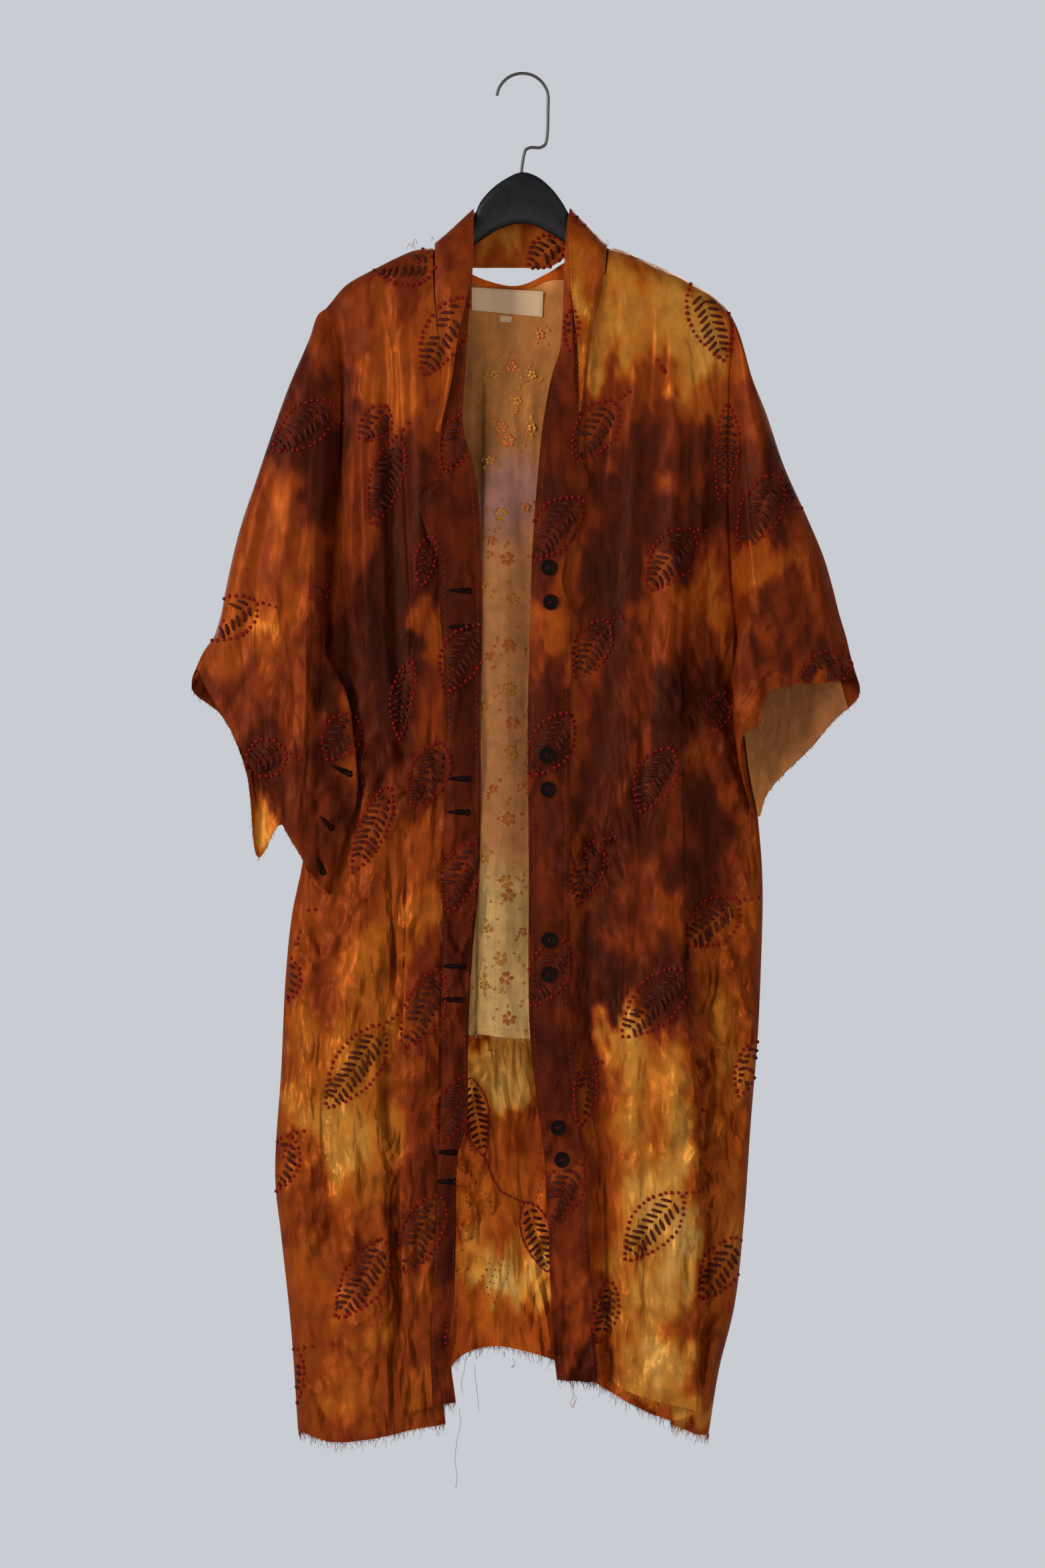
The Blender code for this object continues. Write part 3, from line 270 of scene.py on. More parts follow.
# Sleeves: guide lines from the armhole to the cuff, first the front face from the top fold to the bottom
# fold, then the back face up to the top fold. The armhole row of each comes from the body edge at its drop.
RIGHT_SLEEVE = [  # armhole drop, armhole side (1 front, -1 back), then rows of x, drop, front
    (225, 0, [(-197, 231, 0), (-205, 254, 0), (-225, 301, 0), (-241, 346, 0), (-257, 394, 0),
    (-273, 442, 0),
              (-285, 493, 0), (-294, 536, 0), (-307, 556, 0), (-314, 573, 2)]),
    (243, 1, [(-193, 250, 14), (-215, 300, 19), (-240, 360, 21), (-264, 430, 22), (-281, 500, 20),
              (-303, 592, 18)]),
    (290, 1, [(-186, 296, 20), (-198, 330, 27), (-225, 420, 30), (-252, 520, 30), (-279, 632, 26)]),
    (350, 1, [(-187, 354, 24), (-198, 390, 31), (-218, 480, 34), (-240, 580, 34), (-262, 664, 30)]),
    (410, 1, [(-189, 414, 25), (-197, 450, 32), (-210, 540, 35), (-226, 630, 36), (-246, 686, 33)]),
    (465, 1, [(-191, 470, 24), (-196, 500, 31), (-203, 580, 35), (-212, 660, 37), (-231, 720, 34)]),
    (510, 1, [(-192, 514, 21), (-194, 540, 29), (-197, 610, 34), (-202, 690, 36), (-212, 753, 33)]),
    (535, 1, [(-190, 545, 17), (-190, 570, 25), (-191, 620, 31), (-193, 680, 32), (-194, 730, 31),
              (-195, 779, 29)]),
    (545, 0, [(-196, 552, 9), (-186, 566, 18), (-170, 594, 21), (-162, 640, 21), (-159, 695, 20),
    (-168, 730, 19),
              (-178, 762, 18), (-187, 788, 17)]),
    (530, -1, [(-197, 548, 2), (-196, 570, 9), (-194, 610, 12), (-193, 680, 12), (-196, 740, 11),
               (-198, 782, 12)]),
    (480, -1, [(-203, 510, -12), (-214, 600, -9), (-222, 670, -4), (-232, 722, 4)]),
    (410, -1, [(-200, 430, -16), (-222, 540, -16), (-243, 660, -8), (-254, 754, 4)]),
    (350, -1, [(-198, 366, -17), (-226, 460, -17), (-252, 590, -11), (-266, 672, -2)]),
    (290, -1, [(-194, 303, -16), (-222, 380, -17), (-258, 500, -13), (-289, 618, -4)]),
    (243, -1, [(-196, 256, -11), (-220, 310, -13), (-262, 430, -12), (-286, 520, -9), (-318, 592, -2)]),
]
LEFT_SLEEVE = [  # armhole drop, armhole side (1 front, -1 back), then rows of x, drop, front
    (223, 0, [(201, 232, 0), (208, 248, 0), (214, 276, 0), (223, 298, 0), (234, 325, 0), (252, 378, 0),
              (275, 429, 0), (290, 465, 0), (299, 496, 0), (305, 520, 0), (311, 540, 0), (316, 562, 0),
              (322, 583, 2)]),
    (241, 1, [(208, 252, 14), (222, 300, 19), (243, 370, 22), (272, 450, 22), (296, 530, 19),
    (305, 584, 15)]),
    (285, 1, [(211, 294, 20), (222, 340, 27), (244, 420, 30), (268, 500, 28), (284, 586, 22)]),
    (340, 1, [(211, 346, 24), (220, 390, 31), (238, 460, 34), (256, 530, 32), (266, 587, 26)]),
    (400, 1, [(211, 405, 26), (218, 440, 33), (230, 500, 35), (242, 550, 33), (250, 590, 28)]),
    (455, 1, [(212, 460, 26), (218, 490, 34), (225, 530, 35), (230, 565, 33), (236, 594, 30)]),
    (500, 1, [(213, 504, 24), (216, 525, 33), (219, 560, 37), (224, 600, 38), (227, 624, 36)]),
    (530, 1, [(208, 533, 20), (206, 555, 30), (207, 590, 37), (210, 620, 38), (211, 638, 35)]),
    (545, 0, [(210, 550, 12), (206, 566, 20), (204, 592, 22), (204, 620, 20), (206, 640, 20),
    (211, 674, 18),
              (222, 712, 12)]),
    (525, -1, [(211, 546, 0), (214, 600, 4), (221, 660, 5), (226, 714, 5)]),
    (470, -1, [(216, 492, -11), (224, 560, -12), (230, 640, -6), (236, 692, 0)]),
    (410, -1, [(214, 430, -16), (232, 520, -16), (246, 600, -9), (254, 671, -1)]),
    (350, -1, [(213, 366, -17), (236, 460, -17), (262, 570, -11), (276, 650, -1)]),
    (290, -1, [(212, 303, -16), (232, 370, -17), (268, 490, -13), (300, 622, -1)]),
    (241, -1, [(208, 256, -11), (226, 306, -13), (258, 410, -12), (300, 530, -7), (324, 598, 0)]),
]

# Soft vertical folds that stand forward (or back, where the rise is negative) from the panels.
FRONT_FOLDS = [  # top x, top drop, foot x, foot drop, half width, rise
    (-146, 210, -128, 560, 7, 5), (-132, 330, -120, 640, 6, -4), (-160, 300, -146, 620, 6, 4),
    (-101, 240, -96, 520, 6, 4), (-126, 720, -136, 1100, 7, -4), (-170, 860, -160, 1290, 9, 5),
    (-204, 800, -206, 1240, 8, 4), (-142, 900, -128, 1200, 7, 4), (-188, 980, -176, 1300, 7, -4),
    (112, 250, 98, 640, 7, 4), (136, 260, 112, 760, 7, -4), (150, 300, 134, 700, 7, 5),
    (176, 280, 168, 560, 6, 4), (96, 620, 104, 1000, 7, 4), (128, 860, 112, 1250, 8, -5),
    (148, 920, 142, 1270, 7, 4), (190, 820, 186, 1240, 7, 4), (208, 860, 196, 1150, 6, -4),
]
BACK_FOLDS = [  # top x, top drop, foot x, foot drop, half width, rise
    (-150, 260, -172, 1180, 12, 6), (-98, 300, -112, 1240, 12, 6), (-46, 420, -52, 1210, 12, 5),
    (8, 320, 2, 1200, 13, 6), (56, 380, 64, 1230, 12, 5), (104, 280, 116, 1250, 12, 6),
    (158, 300, 168, 1180, 12, 5), (-20, 700, -26, 1220, 9, -4), (134, 640, 140, 1270, 9, -4),
]
SLEEVE_FOLDS = [  # top x, top drop, foot x, foot drop, half width, rise
    (-208, 290, -246, 600, 9, 5), (-200, 400, -214, 700, 7, 4), (-238, 380, -276, 590, 8, -4),
    (220, 300, 262, 560, 9, 5), (216, 400, 234, 580, 7, 4), (248, 400, 292, 560, 8, -4),
]

# Button middles on the left band, from the top. The pairs are about 33 mm apart.
BUTTONS = [  # x, drop
    (25, 475.5), (27, 508.8), (23, 655.4), (24.3, 688), (25.6, 832.6), (25, 865.3), (34, 1012.5),
    (37.8, 1043.2),
]

CUFF_BUTTON = (-253.0, 728.0)  # x and drop, behind the right cuff's pointed flap

# Dye and creases

DYES = {  # colours of the screen, 0 to 255
    "maroon": (42, 9, 5), "oxblood": (68, 18, 7), "rust": (108, 37, 10), "orange": (142, 62, 13),
    "amber": (161, 86, 22), "gold": (174, 113, 41), "pale gold": (188, 141, 72),
}
DYE_ORDER = ["maroon", "oxblood", "rust", "orange", "amber", "gold", "pale gold"]
# Lining colours; the last two are painted shade, darker colours that stand for shadow inside the coat, not
# dye.
LINING_DYES = {
    "peach": (178, 112, 56), "rose": (226, 148, 88), "cream": (255, 200, 122), "stain": (190, 132, 116),
    "shade": (140, 88, 46), "painted_shade_dusk": (140, 84, 46),
}

# Blotches of dye, two of them on the back partly painted light: 0 is the darkest maroon and 1 the palest
# gold.
RIGHT_FRONT_DYE = [  # x, drop, half width, half height, tone
    (-164, 231, 23, 38, 0.31), (-111, 189, 30, 19, 0.28), (-70, 216, 23, 53, 0.52),
    (-126, 291, 30, 38, 0.5), (-171, 268, 17, 30, 0.28), (-92, 306, 17, 38, 0.36), (-96, 374, 14, 30, 0.14),
    (-179, 329, 19, 45, 0.15), (-149, 374, 15, 30, 0.3), (-145, 442, 11, 23, 0.42),
    (-160, 412, 11, 23, 0.28), (-118, 427, 30, 53, 0.08), (-126, 517, 27, 83, 0.06),
    (-160, 577, 23, 53, 0.1), (-90, 532, 11, 30, 0.5), (-96, 472, 11, 23, 0.16), (-100, 592, 19, 26, 0.28),
    (-126, 622, 23, 45, 0.1), (-149, 652, 19, 38, 0.16), (-111, 683, 23, 30, 0.22),
    (-90, 743, 17, 45, 0.44), (-126, 743, 15, 38, 0.42), (-152, 765, 19, 45, 0.42),
    (-179, 803, 17, 38, 0.44), (-201, 841, 20, 30, 0.44), (-188, 880, 18, 20, 0.34),
    (-126, 818, 17, 38, 0.6), (-145, 871, 19, 30, 0.62), (-96, 811, 14, 30, 0.6), (-92, 886, 20, 30, 0.26),
    (-201, 931, 18, 30, 0.62), (-164, 946, 20, 30, 0.68), (-134, 924, 11, 30, 0.66),
    (-171, 1014, 30, 38, 0.88), (-205, 999, 20, 30, 0.8), (-134, 1006, 12, 38, 0.7),
    (-220, 1059, 15, 30, 0.52), (-149, 1059, 20, 23, 0.62), (-201, 1104, 20, 23, 0.33),
    (-167, 1112, 15, 23, 0.45), (-134, 1104, 11, 30, 0.52), (-160, 1157, 23, 23, 0.36),
    (-210, 1142, 14, 23, 0.5), (-186, 1180, 15, 20, 0.5), (-141, 1180, 11, 30, 0.45),
    (-179, 1225, 20, 20, 0.48), (-140, 1217, 12, 18, 0.64), (-213, 1247, 15, 23, 0.42),
    (-179, 1277, 20, 15, 0.56), (-141, 1285, 17, 15, 0.5), (-92, 954, 14, 23, 0.36),
    (-100, 999, 12, 23, 0.3), (-90, 1044, 15, 23, 0.2), (-111, 1089, 12, 23, 0.24),
    (-92, 1119, 18, 30, 0.42), (-90, 1172, 14, 20, 0.54), (-103, 1210, 14, 20, 0.42),
    (-81, 1232, 11, 18, 0.4), (-92, 1270, 20, 18, 0.54),
]
LEFT_FRONT_DYE = [  # x, drop, half width, half height, tone
    (55, 201, 17, 45, 0.66), (81, 186, 20, 30, 0.76), (100, 238, 23, 38, 0.8), (70, 268, 15, 30, 0.8),
    (141, 216, 23, 38, 0.84), (168, 261, 20, 38, 0.86), (122, 291, 17, 26, 0.42), (58, 321, 14, 20, 0.3),
    (92, 321, 18, 20, 0.32), (179, 306, 17, 23, 0.5), (141, 329, 20, 20, 0.24), (73, 355, 15, 20, 0.3),
    (122, 366, 23, 23, 0.12), (168, 359, 20, 30, 0.2), (92, 412, 30, 38, 0.08), (175, 419, 20, 30, 0.12),
    (137, 442, 23, 23, 0.08), (85, 487, 23, 45, 0.07), (126, 457, 18, 15, 0.16), (151, 491, 11, 20, 0.46),
    (175, 502, 15, 23, 0.52), (134, 532, 11, 15, 0.34), (164, 555, 18, 20, 0.3), (198, 472, 9, 23, 0.3),
    (92, 555, 20, 38, 0.08), (116, 577, 8, 23, 0.34), (179, 585, 20, 30, 0.13), (145, 630, 23, 38, 0.08),
    (198, 637, 11, 30, 0.2), (81, 630, 20, 45, 0.1), (70, 698, 15, 30, 0.14), (119, 720, 26, 38, 0.09),
    (179, 713, 20, 30, 0.1), (160, 773, 20, 23, 0.13), (85, 773, 18, 30, 0.13), (71, 826, 7, 38, 0.12),
    (83, 867, 14, 30, 0.06), (116, 826, 9, 30, 0.26), (134, 878, 30, 23, 0.12), (198, 765, 14, 18, 0.28),
    (194, 826, 18, 23, 0.48), (217, 803, 11, 23, 0.5), (175, 863, 12, 18, 0.44), (194, 908, 17, 30, 0.7),
    (213, 961, 11, 30, 0.6), (175, 984, 12, 23, 0.48), (179, 1014, 9, 11, 0.34), (201, 1029, 17, 30, 0.56),
    (209, 1104, 11, 30, 0.62), (189, 1089, 11, 30, 0.54), (196, 1134, 14, 26, 0.5),
    (209, 1202, 11, 23, 0.5), (184, 1240, 11, 30, 0.42), (160, 1289, 20, 14, 0.84),
    (100, 939, 18, 18, 0.88), (137, 961, 20, 30, 0.8), (100, 999, 15, 38, 0.78), (147, 1021, 18, 45, 0.92),
    (85, 1059, 12, 23, 0.5), (122, 1082, 20, 38, 0.92), (100, 1127, 14, 30, 0.78),
    (147, 1134, 20, 38, 0.98), (124, 1180, 21, 26, 0.88), (92, 1195, 12, 23, 0.76),
    (137, 1240, 26, 33, 0.96), (100, 1247, 12, 23, 0.8), (70, 1172, 9, 30, 0.34), (70, 1225, 8, 23, 0.5),
    (70, 999, 9, 30, 0.42), (62, 931, 12, 30, 0.22), (85, 901, 20, 18, 0.08), (58, 871, 9, 23, 0.16),
    (58, 1059, 9, 38, 0.3), (55, 1119, 8, 23, 0.22),
]
RIGHT_SLEEVE_DYE = [  # x, drop, half width, half height, tone
    (-190, 231, 17, 20, 0.36), (-205, 291, 23, 23, 0.13), (-201, 344, 26, 23, 0.1),
    (-239, 351, 15, 23, 0.18), (-186, 396, 12, 38, 0.14), (-243, 389, 20, 15, 0.34),
    (-262, 427, 20, 20, 0.38), (-231, 445, 15, 20, 0.5), (-246, 472, 23, 15, 0.38),
    (-213, 457, 12, 20, 0.38), (-277, 464, 17, 20, 0.44), (-201, 491, 14, 23, 0.36),
    (-231, 513, 23, 14, 0.5), (-250, 528, 15, 11, 0.66), (-288, 509, 17, 20, 0.5),
    (-284, 555, 20, 14, 0.44), (-299, 585, 17, 14, 0.26), (-201, 555, 15, 23, 0.26),
    (-254, 562, 23, 15, 0.4), (-258, 585, 15, 12, 0.3), (-213, 588, 20, 23, 0.34), (-284, 600, 15, 12, 0.2),
    (-246, 622, 20, 15, 0.24), (-243, 656, 20, 18, 0.14), (-213, 668, 23, 23, 0.2),
    (-216, 713, 18, 23, 0.2), (-194, 743, 14, 23, 0.24), (-179, 472, 12, 45, 0.13),
    (-179, 577, 12, 45, 0.1), (-182, 652, 14, 30, 0.12), (-171, 705, 12, 30, 0.14),
    (-254, 728, 11, 30, 0.8), (-243, 720, 8, 23, 0.6), (-236, 686, 11, 14, 0.16),
]
LEFT_SLEEVE_DYE = [  # x, drop, half width, half height, tone
    (209, 268, 12, 23, 0.46), (213, 321, 15, 23, 0.34), (224, 374, 20, 23, 0.16), (213, 419, 15, 20, 0.12),
    (254, 396, 15, 20, 0.2), (232, 427, 15, 15, 0.2), (217, 457, 12, 17, 0.5), (239, 472, 20, 14, 0.56),
    (258, 506, 23, 23, 0.3), (277, 487, 12, 20, 0.4), (220, 509, 12, 20, 0.34), (213, 547, 11, 23, 0.2),
    (250, 547, 20, 12, 0.2), (284, 524, 17, 15, 0.4), (303, 555, 12, 15, 0.3), (281, 570, 20, 11, 0.2),
    (311, 585, 15, 11, 0.2), (239, 577, 20, 12, 0.3), (228, 607, 15, 15, 0.44),
]
RIGHT_BAND_DYE = [  # x, drop, half width, half height, tone
    (-51, 351, 15, 45, 0.22), (-81, 404, 20, 20, 0.13), (-52, 442, 12, 30, 0.18), (-73, 472, 15, 23, 0.13),
    (-58, 532, 17, 30, 0.12), (-58, 592, 17, 30, 0.1), (-58, 652, 17, 23, 0.16), (-58, 713, 17, 23, 0.2),
    (-62, 765, 15, 20, 0.32), (-58, 818, 17, 23, 0.18), (-62, 871, 17, 23, 0.18), (-66, 916, 15, 18, 0.2),
    (-70, 969, 15, 23, 0.22), (-66, 1021, 15, 23, 0.2), (-70, 1082, 12, 23, 0.2), (-70, 1134, 11, 30, 0.16),
    (-70, 1195, 11, 23, 0.32), (-70, 1244, 11, 18, 0.4), (-47, 178, 11, 30, 0.4), (-51, 246, 9, 30, 0.36),
    (-54, 306, 9, 30, 0.28),
]
LEFT_BAND_DYE = [  # x, drop, half width, half height, tone
    (47, 156, 11, 30, 0.5), (41, 231, 9, 38, 0.34), (38, 291, 11, 30, 0.26), (51, 351, 11, 23, 0.16),
    (28, 359, 11, 30, 0.2), (36, 412, 20, 20, 0.1), (17, 427, 9, 23, 0.2), (40, 487, 18, 15, 0.36),
    (25, 524, 18, 15, 0.48), (43, 555, 14, 23, 0.46), (21, 555, 11, 15, 0.4), (28, 600, 17, 20, 0.12),
    (32, 645, 20, 23, 0.07), (25, 698, 18, 15, 0.26), (36, 743, 18, 20, 0.17), (25, 788, 17, 15, 0.26),
    (36, 833, 18, 20, 0.17), (36, 886, 18, 20, 0.1), (28, 939, 17, 20, 0.1), (36, 984, 17, 20, 0.18),
    (28, 1021, 14, 15, 0.26), (40, 1059, 14, 15, 0.42), (38, 1097, 15, 18, 0.3), (36, 1142, 14, 18, 0.36),
    (51, 1180, 12, 18, 0.36), (51, 1225, 14, 15, 0.44),
]
RIGHT_COLLAR_DYE = [  # x, drop, half width, half height, tone
    (-58, 148, 14, 20, 0.32), (-70, 186, 15, 23, 0.27), (-81, 231, 15, 20, 0.3), (-58, 216, 9, 23, 0.38),
    (-70, 268, 14, 20, 0.4), (-67, 314, 11, 20, 0.34), (-70, 359, 11, 20, 0.24), (-72, 396, 11, 20, 0.14),
]
LEFT_COLLAR_DYE = [  # x, drop, half width, half height, tone
    (51, 140, 11, 15, 0.5), (51, 178, 11, 23, 0.64), (58, 223, 11, 23, 0.78), (62, 268, 9, 23, 0.7),
    (62, 314, 9, 18, 0.5), (64, 351, 8, 18, 0.22),
]
BACK_COLLAR_DYE = [  # x, drop, half width, half height, tone
    (-36, 163, 12, 12, 0.74), (-13, 156, 11, 9, 0.78), (2, 174, 12, 8, 0.5), (25, 163, 11, 12, 0.5),
    (-73, 156, 15, 15, 0.4), (55, 171, 15, 15, 0.6),
]
BACK_DYE_AND_PAINTED_LIGHT = [  # x, drop, half width, half height, tone
    # The first two blotches, just under the lining's hem, are gold dye made paler still: painted light that
    # offsets the lining's shadow there.
    (-21, 942, 33, 14, 0.94), (-21, 963, 33, 14, 0.98), (-21, 1003, 20, 15, 0.52), (-43, 984, 12, 20, 0.62),
    (-2, 1014, 14, 20, 0.42), (-21, 1059, 23, 20, 0.56), (-43, 1089, 14, 20, 0.6), (-2, 1116, 17, 15, 0.78),
    (-21, 1161, 27, 33, 1), (-51, 1142, 11, 23, 0.8), (13, 1157, 12, 23, 0.9), (-36, 1195, 20, 12, 0.5),
    (2, 1202, 17, 11, 0.46), (-21, 1226, 27, 8, 0.52), (-126, 201, 38, 30, 0.42), (-21, 216, 45, 38, 0.5),
    (100, 208, 38, 30, 0.8), (160, 253, 30, 30, 0.84), (-164, 268, 30, 38, 0.2), (-81, 291, 38, 30, 0.36),
    (25, 291, 38, 30, 0.62), (115, 306, 30, 30, 0.4), (175, 351, 30, 38, 0.16), (-141, 381, 38, 45, 0.1),
    (-51, 381, 38, 45, 0.16), (40, 396, 38, 45, 0.3), (130, 427, 38, 38, 0.12), (-171, 502, 30, 45, 0.4),
    (-96, 502, 38, 45, 0.5), (-6, 502, 38, 38, 0.14), (85, 517, 38, 45, 0.1), (175, 517, 38, 45, 0.42),
    (-156, 607, 38, 45, 0.2), (-66, 622, 38, 45, 0.12), (25, 622, 38, 45, 0.4), (115, 622, 38, 45, 0.16),
    (198, 622, 30, 45, 0.12), (-179, 713, 38, 45, 0.5), (-96, 720, 38, 38, 0.26), (-13, 728, 38, 45, 0.62),
    (77, 728, 38, 45, 0.3), (160, 728, 38, 45, 0.1), (-186, 818, 38, 38, 0.46), (-111, 833, 30, 38, 0.72),
    (-36, 841, 38, 38, 0.36), (47, 833, 38, 38, 0.5), (137, 833, 38, 38, 0.2), (205, 833, 30, 38, 0.5),
    (-201, 931, 30, 38, 0.76), (-126, 939, 38, 38, 0.34), (70, 939, 38, 38, 0.72), (145, 939, 38, 38, 0.4),
    (205, 946, 30, 38, 0.62), (-201, 1037, 30, 38, 0.5), (-126, 1044, 38, 38, 0.82),
    (70, 1044, 30, 38, 0.3), (145, 1052, 38, 38, 0.78), (205, 1059, 30, 38, 0.45),
    (-201, 1149, 30, 38, 0.34), (-126, 1149, 38, 38, 0.44), (70, 1149, 30, 38, 0.6),
    (145, 1149, 38, 38, 0.84), (205, 1165, 30, 38, 0.4), (-186, 1255, 30, 30, 0.44),
    (-126, 1255, 30, 30, 0.58), (70, 1247, 30, 30, 0.4), (145, 1255, 38, 30, 0.6),
]
LINING_STAINS_AND_PAINTED_SHADE = [  # x, drop, half width, half height, dye
    (-21, 246, 45, 30, "peach"), (-13, 321, 38, 45, "peach"), (-13, 412, 23, 38, "stain"),
    (-13, 487, 38, 45, "rose"), (-21, 607, 45, 60, "rose"), (-21, 728, 45, 45, "rose"),
    # The two narrow blotches at x -42 and -40 are painted shade, for the lining where it lies recessed
    # behind the right front.
    (-21, 796, 45, 38, "cream"), (-21, 878, 45, 45, "cream"), (-42, 276, 11, 53, "shade"),
    (-40, 351, 8, 45, "shade"), (17, 246, 11, 38, "peach"), (25, 178, 15, 23, "rose"),
    (-21, 148, 30, 15, "rose"),
]
CUFF_STAINS_AND_PAINTED_SHADE = [  # x, drop, half width, half height, dye
    # All blotches but the first are painted shade, for the lining in the shadow of the sleeve.
    (220, 683, 23, 23, "peach"), (258, 630, 30, 23, "painted_shade_dusk"), (288, 607, 23, 15, "painted_shade_dusk"),
    (217, 630, 11, 23, "shade"), (228, 668, 15, 15, "shade"),
]

# Folded edges and seams: the cloth stands forward to the right of the line, or to its left where reach is
# negative.
LAPS = [  # top x, top drop, foot x, foot drop, reach, rise
    (-108, 470, -107, 900, 16, 2.4), (-107, 880, -113, 1280, 18, 2.6), (164, 900, 168, 1290, -24, 3),
    (152, 560, 164, 920, -18, 1.6), (-89, 182, -131, 284, 7, 0.9), (-131, 284, -149, 312, 7, 0.8),
    (81, 170, 78, 200, 9, 0.9), (78, 200, 56, 318, 9, 0.9), (130, 196, 170, 292, -8, 0.7),
    (-134, 430, -130, 700, 12, 1.6), (104, 470, 96, 760, 12, 1.5), (126, 600, 120, 900, -10, 1.2),
]

# Creases that stand forward, or sink where the rise is negative.
FRONT_CREASES = [  # top x, top drop, foot x, foot drop, half width, rise
    (-150, 240, -166, 380, 3, 1.6), (-140, 230, -150, 420, 3.5, -1.8), (-128, 240, -124, 380, 3, 1.5),
    (-112, 230, -104, 410, 3, -1.5), (-160, 300, -140, 330, 2.5, 1), (-172, 420, -132, 560, 3.5, 1.8),
    (-168, 470, -140, 640, 3, -1.6), (-120, 420, -126, 660, 3.5, 1.6), (-104, 470, -96, 700, 2.5, -1.2),
    (-150, 560, -160, 760, 3.5, 1.7), (-134, 600, -140, 820, 3, -1.9), (-170, 640, -190, 840, 3.5, 1.6),
    (-190, 660, -206, 800, 3, 1.4), (-126, 760, -132, 1000, 3.5, 2), (-146, 800, -150, 990, 3, -1.8),
    (-166, 820, -172, 1040, 3.5, 1.7), (-186, 800, -190, 1000, 3, -1.6), (-206, 820, -216, 1010, 3, 1.5),
    (-214, 860, -170, 930, 2.5, 1.2), (-200, 930, -150, 1000, 3, 1.3), (-140, 980, -130, 1240, 3.5, 1.9),
    (-158, 1010, -150, 1260, 3, -1.7), (-178, 1020, -168, 1270, 3.5, 1.7),
    (-196, 1040, -188, 1260, 3, -1.5), (-212, 1060, -206, 1240, 3, 1.5), (-222, 1000, -176, 1060, 2.5, 1.2),
    (-210, 1110, -160, 1160, 2.5, 1.2), (-150, 1120, -190, 1200, 2.5, -1.1),
    (-120, 1010, -126, 1270, 2.5, 1.2), (-98, 700, -104, 980, 2.5, 1), (-100, 1000, -98, 1260, 2.5, -1),
    (-90, 780, -94, 1100, 2.2, 0.8), (-176, 700, -144, 740, 2.5, 1.1), (-158, 690, -130, 740, 2.5, -1.1),
    (112, 210, 100, 400, 3, 1.5), (126, 220, 118, 420, 3.5, -1.7), (140, 225, 146, 380, 3, 1.5),
    (158, 240, 176, 370, 3, -1.5), (96, 240, 80, 420, 2.5, 1.2), (170, 260, 186, 340, 2.5, 1.2),
    (150, 330, 110, 440, 3, 1.4), (132, 400, 108, 620, 3.5, 1.8), (146, 420, 128, 640, 3, -1.7),
    (164, 430, 150, 600, 3.5, 1.6), (180, 420, 182, 620, 3, -1.4), (104, 500, 96, 760, 3, 1.5),
    (118, 620, 110, 860, 3.5, -1.8), (132, 640, 126, 880, 3, 1.9), (150, 660, 150, 840, 2.5, -1.2),
    (182, 640, 186, 860, 3, 1.5), (198, 680, 194, 860, 3, -1.4), (176, 700, 206, 760, 2.5, 1.1),
    (100, 800, 104, 1040, 3.5, 1.7), (120, 840, 116, 1060, 3, -1.7), (138, 860, 140, 1040, 3.5, 1.8),
    (156, 900, 152, 1080, 2.5, -1.1), (190, 860, 186, 1060, 3, 1.5), (206, 880, 200, 1020, 3, -1.4),
    (214, 900, 180, 960, 2.5, 1.1), (108, 1020, 112, 1240, 3.5, 1.7), (126, 1040, 128, 1260, 3, -1.7),
    (142, 1060, 150, 1260, 3.5, 1.8), (156, 1100, 160, 1260, 2.5, -1.2), (186, 1060, 178, 1270, 3, 1.5),
    (198, 1060, 188, 1240, 3, -1.3), (96, 1080, 98, 1240, 2.5, 1.2), (160, 960, 110, 1010, 2.5, 1.1),
    (100, 1120, 150, 1170, 2.5, 1.1), (150, 1180, 104, 1220, 2.5, -1), (202, 1000, 176, 1050, 2.5, 1.1),
    (200, 1120, 172, 1180, 2.5, 1.1), (-206, 300, -250, 470, 3.5, 1.8), (-200, 330, -222, 520, 3, -1.6),
    (-226, 340, -276, 480, 3, 1.5), (-240, 400, -290, 540, 3.5, 1.6), (-204, 420, -240, 620, 3.5, 1.8),
    (-216, 480, -262, 600, 3, -1.5), (-204, 520, -216, 700, 3, 1.6), (-230, 560, -250, 680, 3, 1.5),
    (-250, 560, -284, 610, 2.5, -1.2), (-206, 600, -204, 740, 2.5, -1.3), (-222, 640, -214, 740, 3, 1.4),
    (-270, 470, -296, 560, 2.5, 1.1), (-212, 360, -206, 470, 2.5, 1.2), (214, 290, 244, 420, 3.5, 1.8),
    (210, 330, 224, 500, 3, -1.6), (228, 330, 268, 470, 3, 1.5), (240, 400, 286, 520, 3.5, 1.6),
    (214, 420, 232, 560, 3.5, 1.7), (226, 460, 262, 570, 3, -1.5), (216, 500, 222, 610, 3, 1.5),
    (262, 440, 298, 560, 2.5, 1.2), (236, 500, 292, 540, 2.5, 1.2), (220, 560, 300, 570, 2.5, 1),
    (246, 360, 222, 440, 2.5, -1.2),
]
CREASE_PATCHES = [  # lowest x, highest x, highest drop, lowest drop, how many short creases
    (-212, -98, 800, 1230, 40), (96, 206, 780, 1240, 42), (-150, -100, 420, 760, 8),
    (100, 190, 420, 740, 10),
]
BAND_CREASES = [  # top x, top drop, foot x, foot drop, half width, rise
    (-60, 420, -62, 620, 2.5, 0.7), (-54, 600, -58, 800, 2.5, -0.6), (-66, 760, -64, 960, 2.5, 0.7),
    (-70, 980, -76, 1200, 2.5, 0.6), (20, 470, 22, 660, 2.5, 0.7), (32, 560, 36, 760, 2.5, -0.6),
    (18, 700, 20, 900, 2.5, 0.6), (36, 860, 44, 1010, 2.5, 0.7), (34, 1020, 46, 1200, 2.5, -0.6),
    (54, 1040, 60, 1230, 2.5, 0.6),
]
BACK_CREASE_ROWS = [(240, 470), (430, 720), (640, 930), (880, 1120), (1060, 1280)]  # top drop, foot drop
